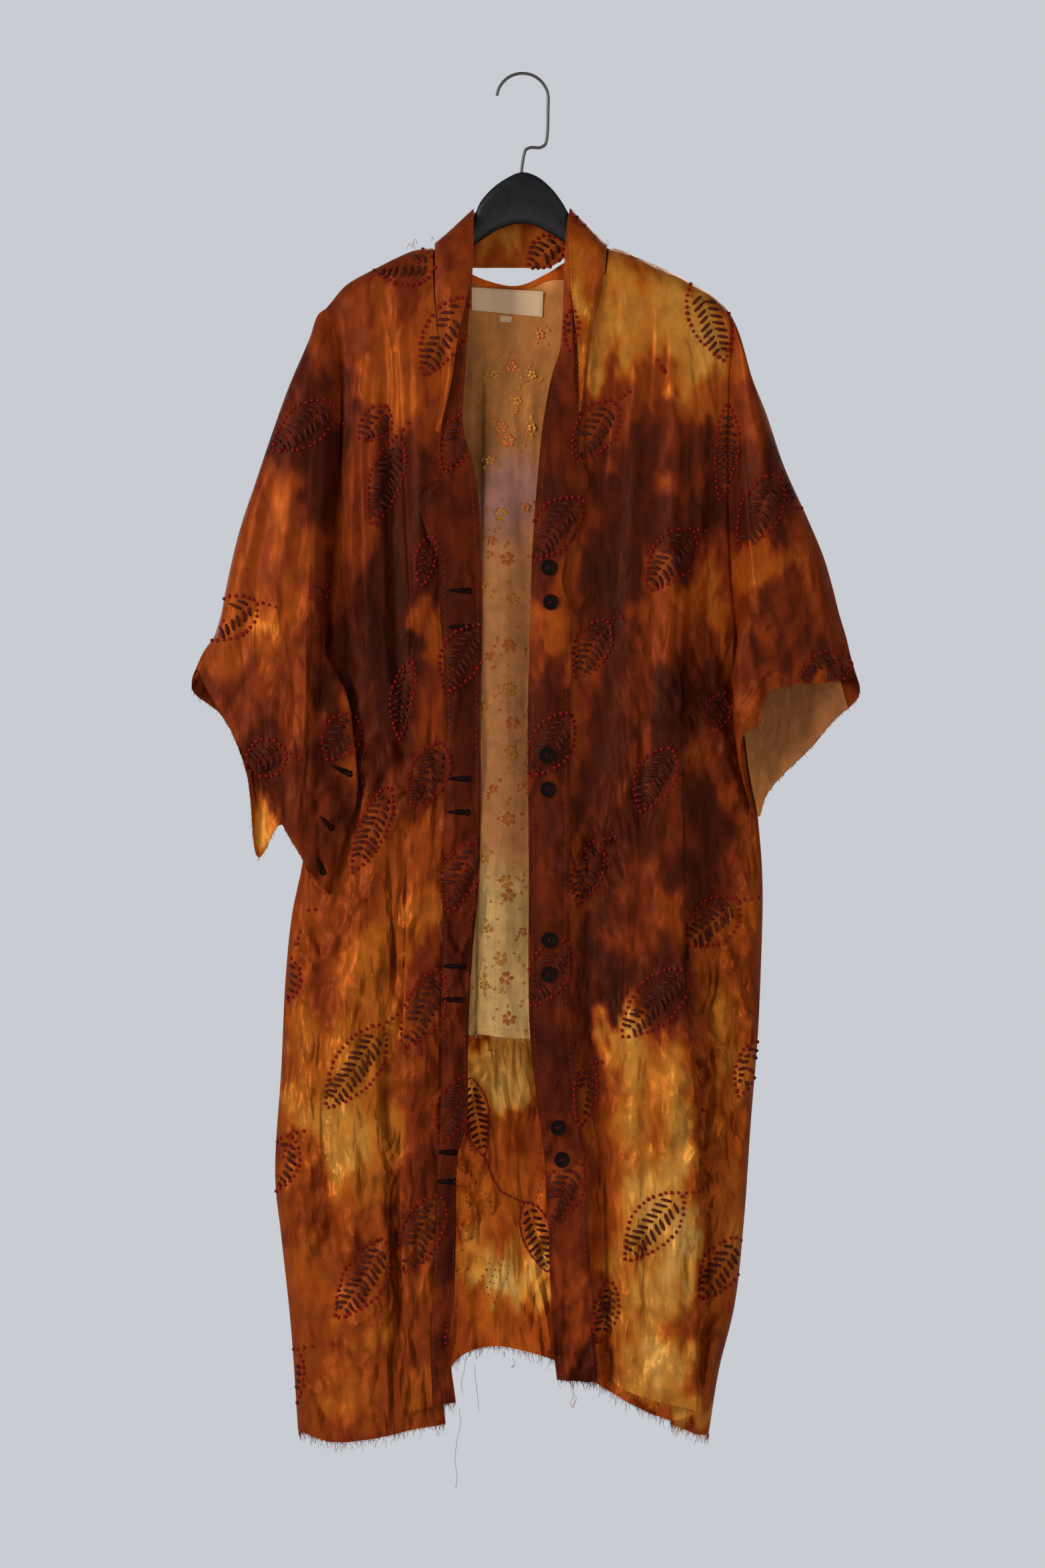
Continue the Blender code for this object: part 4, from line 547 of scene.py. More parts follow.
LINING_CREASES = [  # top x, top drop, foot x, foot drop, half width, rise
    (-50, 250, -48, 460, 3, 0.9), (-24, 260, -26, 430, 2.5, -1), (-6, 250, -8, 500, 3, 0.9),
    (14, 260, 20, 520, 3, -0.9), (34, 250, 40, 480, 3, 1), (-36, 500, -34, 760, 3, 0.9),
    (-12, 560, -10, 820, 3.5, 1), (8, 620, 6, 900, 3, -0.9), (24, 560, 30, 840, 3, 0.9),
    (-46, 700, -44, 900, 2.5, -0.8), (-30, 760, -26, 925, 3, 1), (-2, 800, 2, 925, 3, 0.9),
    (18, 840, 22, 928, 3, -0.8), (52, 300, 58, 600, 3, 0.9), (60, 640, 66, 900, 3, -0.9),
    (-80, 300, -86, 700, 3, 1), (-70, 620, -74, 900, 3, -0.8),
]

# Leaf embroideries: where each leaf starts and ends, its width, and where its stem ends.
RIGHT_LEAVES = [  # base x, base drop, tip x, tip drop, width, stem end
    (-83.2, 184.3, -142.7, 188.2, 39.7, None), (-55, 216.3, -95.4, 290.6, 39.7, None),
    (-182.4, 317.4, -238.7, 362.9, 38.4, (-171.5, 336.6)), (-129.3, 321.3, -156.8, 352, 28.8, None),
    (-118.4, 348.8, -145.3, 435.2, 32, (-110.1, 336.6)), (-58.2, 329, -74.9, 384, 30.7, None),
    (-87.7, 444.8, -96.6, 492.8, 19.2, None), (-255.4, 507.5, -301.4, 544, 38.4, (-236.2, 513.3)),
    (-190.7, 489.6, -202.9, 506.9, 15.4, None), (-39, 531.2, -74.9, 595.2, 39.7, None),
    (-106.9, 564.5, -118.4, 640, 21.8, None), (-161.9, 615.7, -188.8, 659.2, 35.8, None),
    (-227.2, 650.2, -266.9, 666.9, 37.1, (-213.1, 658.6)), (-77.4, 643.2, -104.3, 706.6, 35.8, None),
    (-128, 686.1, -163.2, 768, 26.9, None), (-42.2, 739.8, -73.6, 805.1, 37.1, None),
    (-224.6, 849.3, -229.1, 894.7, 23, None), (-80, 860.8, -113.9, 935.7, 37.1, None),
    (-135.7, 915.2, -188.2, 993.3, 42.2, (-110.7, 897.3)), (-53.1, 963.8, -77.4, 1025.3, 32, None),
    (-223.4, 1020.2, -238.7, 1075.2, 29.4, (-209.3, 1015.7)), (-79.4, 1077.1, -112.6, 1150.7, 38.4, None),
    (-132.5, 1120, -178.6, 1195.5, 39.7, None), (-217.6, 1225, -220.8, 1286.4, 16.6, (-202.2, 1223)),
    (-63.4, 1190.4, -69.1, 1232.6, 14.1, None),
]
LEFT_LEAVES = [  # base x, base drop, tip x, tip drop, width, stem end
    (62.1, 145.9, 46.1, 128, 12.8, None), (167, 195.8, 193.9, 275.8, 39.7, None),
    (48, 227.8, 45.4, 267.5, 14.1, None), (86.4, 315.5, 49.9, 372.5, 38.4, (102.4, 306.6)),
    (197.1, 317.4, 188.8, 409.6, 23, None), (241.9, 386.6, 210.6, 455.7, 37.1, None),
    (251.5, 381.4, 267.5, 419.8, 16.6, None), (57, 409.6, 10.9, 468.5, 42.2, None),
    (163.2, 438.4, 119.7, 496, 39.7, (181.1, 440.3)), (80.6, 524.8, 53.1, 581.1, 32, (96, 522.2)),
    (315.5, 563.2, 263, 588.8, 33.3, None), (197.1, 595.2, 181.1, 633.6, 25.6, None),
    (45.4, 615.7, 6.4, 675.2, 39.7, None), (142.7, 649, 112, 709.1, 37.1, None),
    (72.3, 737.3, 53.1, 800, 28.2, (90.2, 733.4)), (206.7, 794.9, 156.8, 837.1, 42.2, (227.2, 792.3)),
    (155.5, 861.4, 96.6, 925.4, 42.2, None), (42.2, 833.3, 7.7, 896, 38.4, None),
    (224, 929.3, 208, 983.7, 20.5, None), (64.6, 949.8, 55.7, 1012.5, 21.8, (76.8, 949.8)),
    (53.8, 1046.4, 23.7, 1104.6, 37.1, None), (151.7, 1075.2, 99.2, 1139.8, 42.2, (168.3, 1073.3)),
    (208, 1120, 170.9, 1177.6, 35.8, None), (85.1, 1159.7, 72.3, 1221.1, 23, None),
    (38.4, 158.7, 6.4, 184.3, 30.7, None),
]
BACK_LEAVES = [  # base x, base drop, tip x, tip drop, width, stem end
    (-104, 265, -136, 335, 37, None), (2, 302, -42, 358, 41, (22, 298)), (92, 254, 68, 326, 40, None),
    (170, 350, 130, 410, 41, (190, 346)), (-136, 408, -184, 472, 40, (-116, 404)),
    (-43, 419, -77, 481, 36, None), (65, 447, 15, 513, 37, None), (127, 499, 113, 581, 39, (147, 495)),
    (-110, 562, -150, 618, 37, None), (-10, 580, -30, 640, 41, (10, 576)), (96, 628, 64, 692, 39, None),
    (184, 672, 156, 728, 42, None), (-173, 682, -187, 758, 38, (-153, 678)),
    (-78, 724, -102, 796, 37, (-58, 720)), (27, 738, -7, 802, 39, None),
    (144, 798, 96, 862, 39, (164, 794)), (-131, 850, -169, 910, 41, (-111, 846)),
    (-18, 870, -62, 930, 40, (2, 866)), (81, 913, 39, 967, 40, (101, 909)),
    (202, 921, 158, 979, 38, (222, 917)), (-173, 972, -207, 1048, 42, (-153, 968)),
    (-67, 1016, -113, 1084, 37, (-47, 1012)), (32, 1021, 8, 1099, 38, (52, 1017)),
    (130, 1077, 110, 1143, 36, (150, 1073)), (-127, 1140, -173, 1200, 42, None),
    (-17, 1131, -43, 1189, 41, (3, 1127)), (80, 1153, 60, 1227, 39, (100, 1149)),
    (176, 1186, 144, 1254, 42, (196, 1182)), (-223, 438, -237, 502, 41, (-203, 434)),
    (-241, 524, -283, 596, 40, None), (-216, 608, -236, 672, 38, (-196, 604)),
    (248, 393, 224, 467, 41, (268, 389)), (285, 490, 255, 550, 42, (305, 486)),
    (310, 555, 282, 625, 42, None),
]
DOT_ROWS = [  # rows of single knots: x, drop, x, drop
    (-192.6, 802.6, -206.1, 804.5), (-211.2, 819.2, -217.6, 837.1), (125.4, 270.7, 136.3, 288),
    (168.3, 995.2, 178.6, 997.1), (128, 286.7, 135, 285.4), (-211.2, 819.2, -216.3, 836.5),
]
SPRAYS = [  # flowers on the lining: x, drop, reach, thread
    (-10.9, 280.3, 8.5, 0), (-4.5, 313.6, 5.5, 1), (-13.4, 352, 8.5, 0), (-21.1, 422.4, 8.5, 1),
    (-14.7, 465.9, 8.5, 0), (-9.6, 505.6, 8.5, 1), (-12.8, 550.4, 8.5, 0), (-12.8, 592, 8.5, 1),
    (-9.6, 624, 8.5, 0), (-10.9, 652.8, 8.5, 1), (-13.4, 716.8, 8.5, 0), (-16, 777.6, 8.5, 1),
    (-13.4, 790.4, 8.5, 0), (-21.1, 851.2, 8.5, 1), (-16, 870.4, 8.5, 0), (-32, 822.4, 5.5, 1),
    (-12.8, 908.8, 8.5, 0), (-36.5, 755.2, 5.5, 1), (-27.5, 688, 5.5, 0), (-35.2, 608, 5.5, 1),
    (-32, 560, 5.5, 0), (-36.5, 492.8, 5.5, 1), (-28.8, 448, 5.5, 0), (-32, 371.2, 5.5, 1),
    (-21.1, 339.2, 8.5, 0), (9.6, 288, 5.5, 1), (17.3, 249.6, 5.5, 0), (9.6, 339.2, 5.5, 1),
    (3.2, 416, 5.5, 0), (-27.5, 288, 5.5, 1), (3.2, 684.8, 5.5, 0), (-36.5, 876.8, 5.5, 1),
    (0, 825.6, 5.5, 0),
]

BUTTONHOLES = [  # x, drop
    (-57.9, 497.3), (-57.9, 532.5), (-58.2, 677.8), (-58.9, 709.8), (-63.7, 857.6), (-65.3, 889.3),
    (-71.7, 1035.5), (-71.7, 1063.7),
]
SLEEVE_LOOPS = [  # x, drop, x, drop
    (-182.4, 665.6, -163.2, 674.6), (-192.6, 715.5, -181.1, 727), (-196.5, 755.2, -190.1, 770.6),
]
INNER_LEAVES = [  # base x, base drop, tip x, tip drop, width
    (-50.6, 966.4, -37.1, 1043.2, 26.88), (3.2, 1085.4, 25, 1155.2, 29.44),
]
INNER_STEM = [(-36.5, 1041.3), (-28.8, 1062.4), (-20.5, 1076.5), (-3.2, 1085.4), (16.6, 1091.2)]
CUFF_SPRAYS = [(111, 585, 7.5, 0), (160, 600, 7.5, 0), (130, 640, 6, 1), (176, 560, 6, 1)]
LOOSE_THREADS = [  # x, drop, front along each thread
    [(-54.4, 1235.2, -17), (-56.3, 1249.3, -17), (-58.9, 1260.8, -16), (-57.6, 1273.6, -16)],
    [(-60.8, 1281.3, 35), (-59.5, 1296, 36), (-62.7, 1312, 36), (-64.6, 1331.2, 35),
     (-62.7, 1347.2, 35), (-64, 1358.1, 35)],
    [(-46.1, 1242.9, -18), (-45.4, 1257.6, -18), (-43.5, 1272.3, -18), (-42.2, 1289.6, -18)],
    [(153, 1285.1, 40), (151.7, 1297.9, 40), (150.4, 1305.6, 40)],
    [(47.4, 1255.7, 31), (49.3, 1267.2, 31), (46.1, 1277.4, 32), (48.6, 1281.3, 32), (50.6, 1272.3, 32)],
    [(50.6, 1257, 31), (46.7, 1264.6, 32), (51.8, 1272.3, 32), (47.4, 1280, 32)],
    [(-9.6, 1237.8, -18), (-7.7, 1242.9, -17), (-10.9, 1246.7, -17), (-7, 1244.2, -16)],
    [(-102.4, 167.7, 3), (-105.6, 162.6, 4), (-103, 158.7, 4), (-101.1, 163.8, 4)],
    [(-87.7, 160.6, 3), (-86.4, 156.2, 4), (-85.1, 160, 4)],
    [(81.3, 165.8, 3), (82.6, 161.3, 3), (80, 158.7, 3)],
    [(-112, 167.7, 2), (-108.2, 162.6, 4), (-106.2, 166.4, 4), (-103.7, 161.3, 5)],
]

# Creases at chance places


def short_creases():
    """Short creases that lean either way, scattered in the patches of the front."""
    chance = random.Random(41)
    made = []
    for low_x, high_x, top, bottom, count in CREASE_PATCHES:
        for _ in range(count):
            top_x, top_drop = chance.uniform(low_x, high_x), chance.uniform(top, bottom)
            lean = chance.choice((-1, 1, 1)) * chance.uniform(0.15, 0.95)
            length = chance.uniform(34, 120)
            foot_x = min(max(top_x + lean * length * 0.75, low_x - 4), high_x + 4)
            rise = chance.choice((1, 1, -1)) * chance.uniform(1.3, 2.5)
            half_width = round(chance.uniform(1.7, 2.8), 1)
            made.append((round(top_x), round(top_drop), round(foot_x), round(top_drop + length),
                         half_width, round(rise, 1)))
    return made


def behind_creases():
    """Creases behind: long ones in columns, slanting ones between them, and those of the sleeves."""
    chance = random.Random(7)
    made = []
    for column in range(13):
        middle = -176 + column * 29
        for top, foot in BACK_CREASE_ROWS:
            made.append((
                round(middle + chance.uniform(-9, 9)), round(top + chance.uniform(-30, 30)),
                round(middle + chance.uniform(-20, 20)), round(foot + chance.uniform(-50, 30)),
                round(chance.uniform(2.6, 4.2), 1),
                round(chance.choice((1, 1, -1)) * chance.uniform(1.1, 2.2), 1),
            ))
    for _ in range(12):
        top_x, top = chance.uniform(-190, 150), chance.uniform(300, 1180)
        side = chance.choice((-1, 1))
        foot = top + chance.uniform(30, 80)
        made.append((round(top_x), round(top), round(top_x + 50 * side), round(foot), 2.8,
                     round(chance.uniform(0.9, 1.4), 1)))
    for step in range(6):
        for side in (-1, 1):
            top_x, top = side * (210 + step * 13), 300 + step * 34
            foot_x = top_x + side * round(chance.uniform(14, 34))
            foot = top + round(chance.uniform(110, 190))
            rise = round(chance.choice((1, -1)) * chance.uniform(1.2, 1.9), 1)
            made.append((top_x, top, foot_x, foot, 3.2, rise))
    return made


FRONT_CREASES += short_creases() + BAND_CREASES
BACK_CREASES = behind_creases()

# Numbers and shapes


def world(points):
    """Places given as x, drop, front in millimetres, as x, y, z in metres."""
    points = np.asarray(points, dtype=float)
    return np.stack([points[..., 0], -points[..., 2], -points[..., 1]], axis=-1) * MM


def smooth(points, per, closed=False):
    """A smooth curve through the points, with per steps between each two. It works on the first axis."""
    points = np.asarray(points, dtype=float)
    if closed:
        points = np.concatenate([points[-1:], points, points[:2]])
    span = np.linalg.norm(np.diff(points, axis=0), axis=-1, keepdims=True) ** 0.5 + 1e-6
    slope = np.diff(points, axis=0) / span
    inner = (slope[:-1] * span[1:] + slope[1:] * span[:-1]) / (span[1:] + span[:-1])
    tangent = np.concatenate([slope[:1], inner, slope[-1:]])
    first, last = (1, len(points) - 2) if closed else (0, len(points) - 1)
    made = []
    for k in range(first, last):
        for u in np.arange(per) / per:
            here = (2 * u**3 - 3 * u**2 + 1) * points[k] + (3 * u**2 - 2 * u**3) * points[k + 1]
            lean = (u**3 - 2 * u**2 + u) * tangent[k] + (u**3 - u**2) * tangent[k + 1]
            made.append(here + lean * span[k])
    if not closed:
        made.append(points[-1])
    return np.array(made)


def run_of(line):
    """How far along the line each of its points lies."""
    return np.concatenate([[0], np.cumsum(np.linalg.norm(np.diff(line, axis=0), axis=-1))])


def follow(line, run, wanted):
    """The places on the line at the wanted distances along it."""
    return np.stack([np.interp(wanted, run, line[:, axis]) for axis in range(line.shape[1])], axis=-1)


def even_steps(rows, steps, bias=1.0):
    """Points along a smooth curve through the rows, closer together near its start where bias is over 1."""
    dense = smooth(rows, 16)
    run = run_of(dense)
    return follow(dense, run, (np.arange(steps + 1) / steps) ** bias * run[-1])


def rounded_top(line):
    """The line's front value grows from the shoulder seam as the cloth rounds over the hanger."""
    share = np.sqrt(1 - (1 - np.clip(run_of(line[:, :2]) / ROLL, 0, 1)) ** 2)
    made = line.copy()
    made[:, 2] = np.sign(line[:, 2]) * SEAM + line[:, 2] * share * (1 - SEAM / ROLL)
    return made


def folds(points, table):
    """How far the folds of the table lift each point forward."""
    lift = np.zeros(points.shape[:-1])
    for top_x, top_drop, foot_x, foot_drop, half_width, rise in table:
        along = np.clip((points[..., 1] - top_drop) / (foot_drop - top_drop), 0, 1)
        middle = top_x + along * (foot_x - top_x)
        shape = np.exp(-(((points[..., 0] - middle) / half_width) ** 2))
        lift += rise * np.sin(math.pi * along) ** 0.8 * shape
    return lift


def edge_roll(outer, inner, share_across, share_front):
    """A guide line between two others that keeps the edge round."""
    made = outer + (inner - outer) * share_across
    made[:, 2] = outer[:, 2] + (inner[:, 2] - outer[:, 2]) * share_front
    return made


def noise(x, y, seed):
    """Smooth noise from -1 to 1."""
    table = np.random.default_rng(seed).uniform(-1, 1, (64, 64))
    ix, iy = np.floor(x).astype(int), np.floor(y).astype(int)
    fx, fy = x - ix, y - iy
    fx, fy = fx * fx * (3 - 2 * fx), fy * fy * (3 - 2 * fy)
    here, right = table[ix % 64, iy % 64], table[(ix + 1) % 64, iy % 64]
    below, beyond = table[ix % 64, (iy + 1) % 64], table[(ix + 1) % 64, (iy + 1) % 64]
    return (here * (1 - fx) + right * fx) * (1 - fy) + (below * (1 - fx) + beyond * fx) * fy


def layered(x, y, seed, layers=3):
    """Noise with finer and weaker layers on top."""
    total = np.zeros(np.shape(x))
    for layer in range(layers):
        total += noise(x * 2**layer, y * 2**layer, seed + layer) * 0.5**layer
    return total / 1.6


def ridged(x, y, seed):
    """Smooth noise with narrow crests, from -1 to 1."""
    return 1 - 2 * np.abs(noise(x, y, seed))


def crest(x, y, seed):
    """Thin crests on flat ground, from 0 to 1."""
    return np.clip(1 - 3.2 * np.abs(noise(x, y, seed)), 0, 1) ** 1.35


def facet(x, y, seed):
    """Flat slopes between sharp crests and sharp valleys, from 0 to 1."""
    return np.abs(np.mod(1.7 * noise(x, y, seed), 2) - 1)


def shoulder_line():
    """The tops of the front panels as x and drop, in the order of x: the right shoulder, and the left."""
    right = [RIGHT_SIDE[0][:2], *[rows[0][:2] for rows in reversed(RIGHT_FRONT.values())]]
    left = [*[rows[0][:2] for rows in LEFT_FRONT.values()], LEFT_SIDE[0][:2]]
    return right, left


def shoulder_drop(x):
    """The drop of the shoulder line at x."""
    right, left = shoulder_line()
    line = np.array(right + left, dtype=float)
    return np.interp(x, line[:, 0], line[:, 1])


def beside(points, top_x, top_drop, foot_x, foot_drop):
    """For each point: how far along a line it lies, 0 to 1, how far to its side, and the line's length."""
    x, drop = points[..., 0], points[..., 1]
    length = math.hypot(foot_x - top_x, foot_drop - top_drop)
    ax, ad = (foot_x - top_x) / length, (foot_drop - top_drop) / length
    along = ((x - top_x) * ax + (drop - top_drop) * ad) / length
    return along, (x - top_x) * ad - (drop - top_drop) * ax, length


def creases(points, table, seed):
    """Creases that wander a little and are sharper than the folds."""
    lift = np.zeros(points.shape[:-1])
    for top_x, top_drop, foot_x, foot_drop, half_width, rise in table:
        along, across, _ = beside(points, top_x, top_drop, foot_x, foot_drop)
        across = across + 3.0 * noise(along * 4 + top_x, np.full_like(along, top_drop * 0.37), seed)
        shape = np.exp(-np.abs(across / half_width) ** 1.5)
        lift += rise * np.sin(math.pi * np.clip(along, 0, 1)) ** 0.6 * shape
    return lift


def laps(points, table):
    """Folded edges: the cloth beside a line stands forward, and drops back sharply at the line."""
    lift = np.zeros(points.shape[:-1])
    for top_x, top_drop, foot_x, foot_drop, reach, rise in table:
        along, across, length = beside(points, top_x, top_drop, foot_x, foot_drop)
        across = (across + 1.5 * noise(along * 5, np.full_like(along, top_drop * 0.41), 71)) * np.sign(reach)
        fading = np.clip(across / 1.2 + 1, 0, 1) * np.exp(-np.maximum(across, 0) / abs(reach))
        lift += rise * fading * np.clip(np.minimum(along, 1 - along) * length / 18, 0, 1)
    return lift


SLANTED = [  # shape, height, lean, width, length, seed
    (facet, 4.0, 0.5, 21, 125, 20), (facet, 3.6, -0.62, 23, 115, 30),
    (crest, 2.0, 1.2, 24, 60, 50), (facet, 1.4, -0.2, 12, 80, 60),
]
SLANTED_MIDDLE = 4.6    # the height that leaves the cloth where it is


def crumple(x, drop, seed):
    """Washed silk: soft folds that hang down, crossed by crests that slant, stronger lower down."""
    across = x + 8 * noise(x / 45, drop / 60, seed) + 2 * noise(x / 15, drop / 30, seed + 1)
    down = drop + 12 * noise(x / 50, drop / 60, seed + 2)
    strength = np.clip(0.75 + 1.5 * noise(x / 55, drop / 75, seed + 4), 0.05, 1.8)
    low = np.clip((drop - 380) / 350, 0, 1)
    lift = (0.95 + 0.85 * low) * noise(across / 13, down / 210, seed + 10)
    lift += (0.75 + 0.75 * low) * crest(across / 20, down / 140, seed + 15)
    slanted = 0.0
    for shape, height, lean, width, length, own_seed in SLANTED:
        slanted = slanted + height * shape(
            (across + lean * down) / width, (down - lean * across) / length, seed + own_seed)
    return lift + (slanted - SLANTED_MIDDLE) * strength * (0.12 + 0.88 * low) - 0.3


def below_seam(points):
    """0 at the shoulder seam, growing to 1 below it."""
    return np.clip((points[..., 1] - shoulder_drop(points[..., 0]) - 6) / 45, 0, 1)


def front_crinkle(points):
    """How far the silk in front stands forward: one field for all layers, so that they never cross."""
    lift = crumple(points[..., 0], points[..., 1], 700) + creases(points, FRONT_CREASES, 61)
    return (lift + laps(points, LAPS)) * below_seam(points)


def back_crinkle(points):
    """How far the silk behind stands backward."""
    lift = crumple(points[..., 0], points[..., 1], 800) + creases(points, BACK_CREASES, 161)
    return lift * below_seam(points)


# Dye


def linear(red, green, blue):
    """A colour of the screen, 0 to 255, as linear light."""
    share = np.array([red, green, blue]) / 255
    return np.where(share <= 0.04045, share / 12.92, ((share + 0.055) / 1.055) ** 2.4)


def tone_colour(tone):
    """The dye's colour where the bath took more (0) or less (1)."""
    colours = np.array([linear(*DYES[name]) for name in DYE_ORDER])
    return np.stack([np.interp(tone, DYE_STOPS, colours[:, k]) for k in range(3)], axis=-1)


def dye_and_painted_light(points, blotches, base, seed):
    """The colour of each point from a table of blotches, drawn out into streaks as wet silk dries; two
    blotches of the back are partly painted light.
    """
    x, drop = points[..., 0], points[..., 1]
    run = 22 * noise(x / 22, drop / 70, seed) + 15 * noise((x + 0.3 * drop) / 10, drop / 34, seed + 1)
    run += 8 * noise((x - 0.4 * drop) / 5, drop / 18, seed + 12)
    sway = 11 * noise(x / 35, drop / 35, seed + 2) + 7 * noise(x / 12, drop / 14, seed + 3)
    sway += 3 * noise(x / 5, drop / 7, seed + 13)
    total = np.full(x.shape, 0.05)
    tone = total * base
    for at_x, at_drop, half_x, half_drop, depth in blotches:
        away = ((x + sway - at_x) / half_x) ** 2 + ((drop + run - at_drop) / half_drop) ** 2
        weight = np.exp(-away * 2.0)
        total += weight
        tone += weight * depth
    tone = tone / total
    tone = tone + 0.045 * layered(x / 12, drop / 60, seed + 4) + 0.045 * layered(x / 34, drop / 40, seed + 7)
    tone = tone + 0.035 * layered((x + 0.6 * drop) / 10, (drop - 0.6 * x) / 40, seed + 15)
    tone = tone - 0.08 * crest(x / 15 + 0.6 * noise(x / 16, drop / 30, seed + 5), drop / 90, seed + 16)
    return tone_colour(np.clip(tone, 0, 1))


# Materials


def new_material(name):
    """A material, with its nodes, its links and its shader."""
    made = bpy.data.materials.new(name)
    made.use_nodes = True
    return made, made.node_tree.nodes, made.node_tree.links, made.node_tree.nodes["Principled BSDF"]


def noise_node(nodes, links, scale, detail, stretch=(1, 1, 1), roughness=0.55, turn=(0, 0, 0)):
    """Noise in the object's own space, drawn out by stretch."""
    place = nodes.new("ShaderNodeTexCoord")
    mapping = nodes.new("ShaderNodeMapping")
    mapping.inputs["Scale"].default_value = stretch
    mapping.inputs["Rotation"].default_value = turn
    links.new(place.outputs["Object"], mapping.inputs["Vector"])
    made = nodes.new("ShaderNodeTexNoise")
    made.inputs["Scale"].default_value = scale
    made.inputs["Detail"].default_value = detail
    made.inputs["Roughness"].default_value = roughness
    links.new(mapping.outputs["Vector"], made.inputs["Vector"])
    return made


def ramp_node(nodes, links, source, low, high, low_value, high_value):
    """Turns low to high of the source into low_value to high_value."""
    made = nodes.new("ShaderNodeMapRange")
    made.inputs["From Min"].default_value = low
    made.inputs["From Max"].default_value = high
    made.inputs["To Min"].default_value = low_value
    made.inputs["To Max"].default_value = high_value
    links.new(source, made.inputs["Value"])
    return made


def bump_node(nodes, links, height, strength, distance, below=None):
    """Raises the surface by the height, on top of the bump below where there is one."""
    made = nodes.new("ShaderNodeBump")
    made.inputs["Strength"].default_value = strength
    made.inputs["Distance"].default_value = distance
    links.new(height, made.inputs["Height"])
    if below is not None:
        links.new(below.outputs["Normal"], made.inputs["Normal"])
    return made


def maths(nodes, links, operation, first, second):
    """A maths node of two values, each a socket or a number."""
    made = nodes.new("ShaderNodeMath")
    made.operation = operation
    for place, value in enumerate((first, second)):
        if isinstance(value, (int, float)):
            made.inputs[place].default_value = value
        else:
            links.new(value, made.inputs[place])
    return made.outputs[0]


def crumple_height(nodes, links):
    """Fine creases of washed silk: small flat facets in patches, stronger below the waist."""
    facets = (  # stretch, lean, share
        ((28, 28, 9), 0.62, 1.0),
        ((30, 30, 10), -0.75, 1.0),
        ((42, 42, 10), 0.12, 0.35),
        ((52, 52, 20), 1.25, 0.5),
    )
    total = 0.0
    for stretch, lean, share in facets:
        source = noise_node(nodes, links, 1.0, 0.4, stretch, 0.3, (0, lean, 0))
        sharp = maths(nodes, links, "PINGPONG", source.outputs["Fac"], FACET_STEP)
        raised = maths(nodes, links, "MULTIPLY", sharp, share / FACET_STEP)
        total = maths(nodes, links, "ADD", raised, total)
    cloud = noise_node(nodes, links, 13.0, 1.0)
    patches = ramp_node(nodes, links, cloud.outputs["Fac"], 0.36, 0.6, 0.3, 1.0)
    place = nodes.new("ShaderNodeTexCoord")
    height = nodes.new("ShaderNodeSeparateXYZ")
    links.new(place.outputs["Object"], height.inputs[0])
    lower = ramp_node(nodes, links, height.outputs["Z"], -0.42, -0.8, 0.22, 1.0)
    strength = maths(nodes, links, "MULTIPLY", patches.outputs[0], lower.outputs[0])
    return maths(nodes, links, "MULTIPLY", total, strength)


def silk(name, roughness, sheen, creased, lustre, tint=(1.0, 0.6, 0.3)):
    """Dyed silk: its colour comes from the piece's colour attribute, which holds the dye, with painted light
    on the back's inner face and painted shade on the linings; threads, slubs and creases lie on top.
    """
    made, nodes, links, shader = new_material(name)
    colour = nodes.new("ShaderNodeAttribute")
    colour.attribute_name = "dye_and_painted_light"
    slub = noise_node(nodes, links, 1.0, 4.0, (420, 420, 120), 0.6)
    cloud = noise_node(nodes, links, 60.0, 5.0)
    darker = ramp_node(nodes, links, slub.outputs["Fac"], 0.3, 0.7, 0.92, 1.08)
    deeper = ramp_node(nodes, links, cloud.outputs["Fac"], 0.3, 0.7, 0.82, 1.16)
    product = maths(nodes, links, "MULTIPLY", darker.outputs[0], deeper.outputs[0])
    mixed = nodes.new("ShaderNodeVectorMath")
    mixed.operation = "SCALE"
    links.new(colour.outputs["Color"], mixed.inputs[0])
    links.new(product, mixed.inputs["Scale"])
    links.new(mixed.outputs[0], shader.inputs["Base Color"])
    gloss = ramp_node(nodes, links, slub.outputs["Fac"], 0.3, 0.7, roughness - 0.07, roughness + 0.09)
    paler = nodes.new("ShaderNodeRGBToBW")
    links.new(colour.outputs["Color"], paler.inputs[0])
    matt = ramp_node(nodes, links, paler.outputs[0], 0.01, 0.12, 0.16, 0.0)
    links.new(maths(nodes, links, "ADD", gloss.outputs[0], matt.outputs[0]), shader.inputs["Roughness"])
    shader.inputs["Sheen Weight"].default_value = sheen
    shader.inputs["Sheen Roughness"].default_value = SHEEN_SPREAD
    shader.inputs["Sheen Tint"].default_value = (*tint, 1.0)
    shader.inputs["Specular IOR Level"].default_value = SILK_SHINE
    shader.inputs["Specular Tint"].default_value = (*tint, 1.0)
    shader.inputs["Metallic"].default_value = lustre
    weave = noise_node(nodes, links, 1.0, 2.0, (2600, 2600, 900), 0.5)
    fine = bump_node(nodes, links, weave.outputs["Fac"], 0.12, 0.0004)
    crumpled = bump_node(nodes, links, crumple_height(nodes, links), creased, 0.0032, fine)
    links.new(crumpled.outputs["Normal"], shader.inputs["Normal"])
    return made


def mottle(nodes, links, shader, cloud, colour, darker, paler):
    """The base colour goes from darker to paler times the colour, as the cloud of noise does."""
    base = nodes.new("ShaderNodeMix")
    base.data_type = "RGBA"
    for socket, share in (("A", darker), ("B", paler)):
        base.inputs[socket].default_value = (*[min(c * share, 1.0) for c in linear(*colour)], 1.0)
    links.new(cloud.outputs["Fac"], base.inputs["Factor"])
    links.new(base.outputs["Result"], shader.inputs["Base Color"])


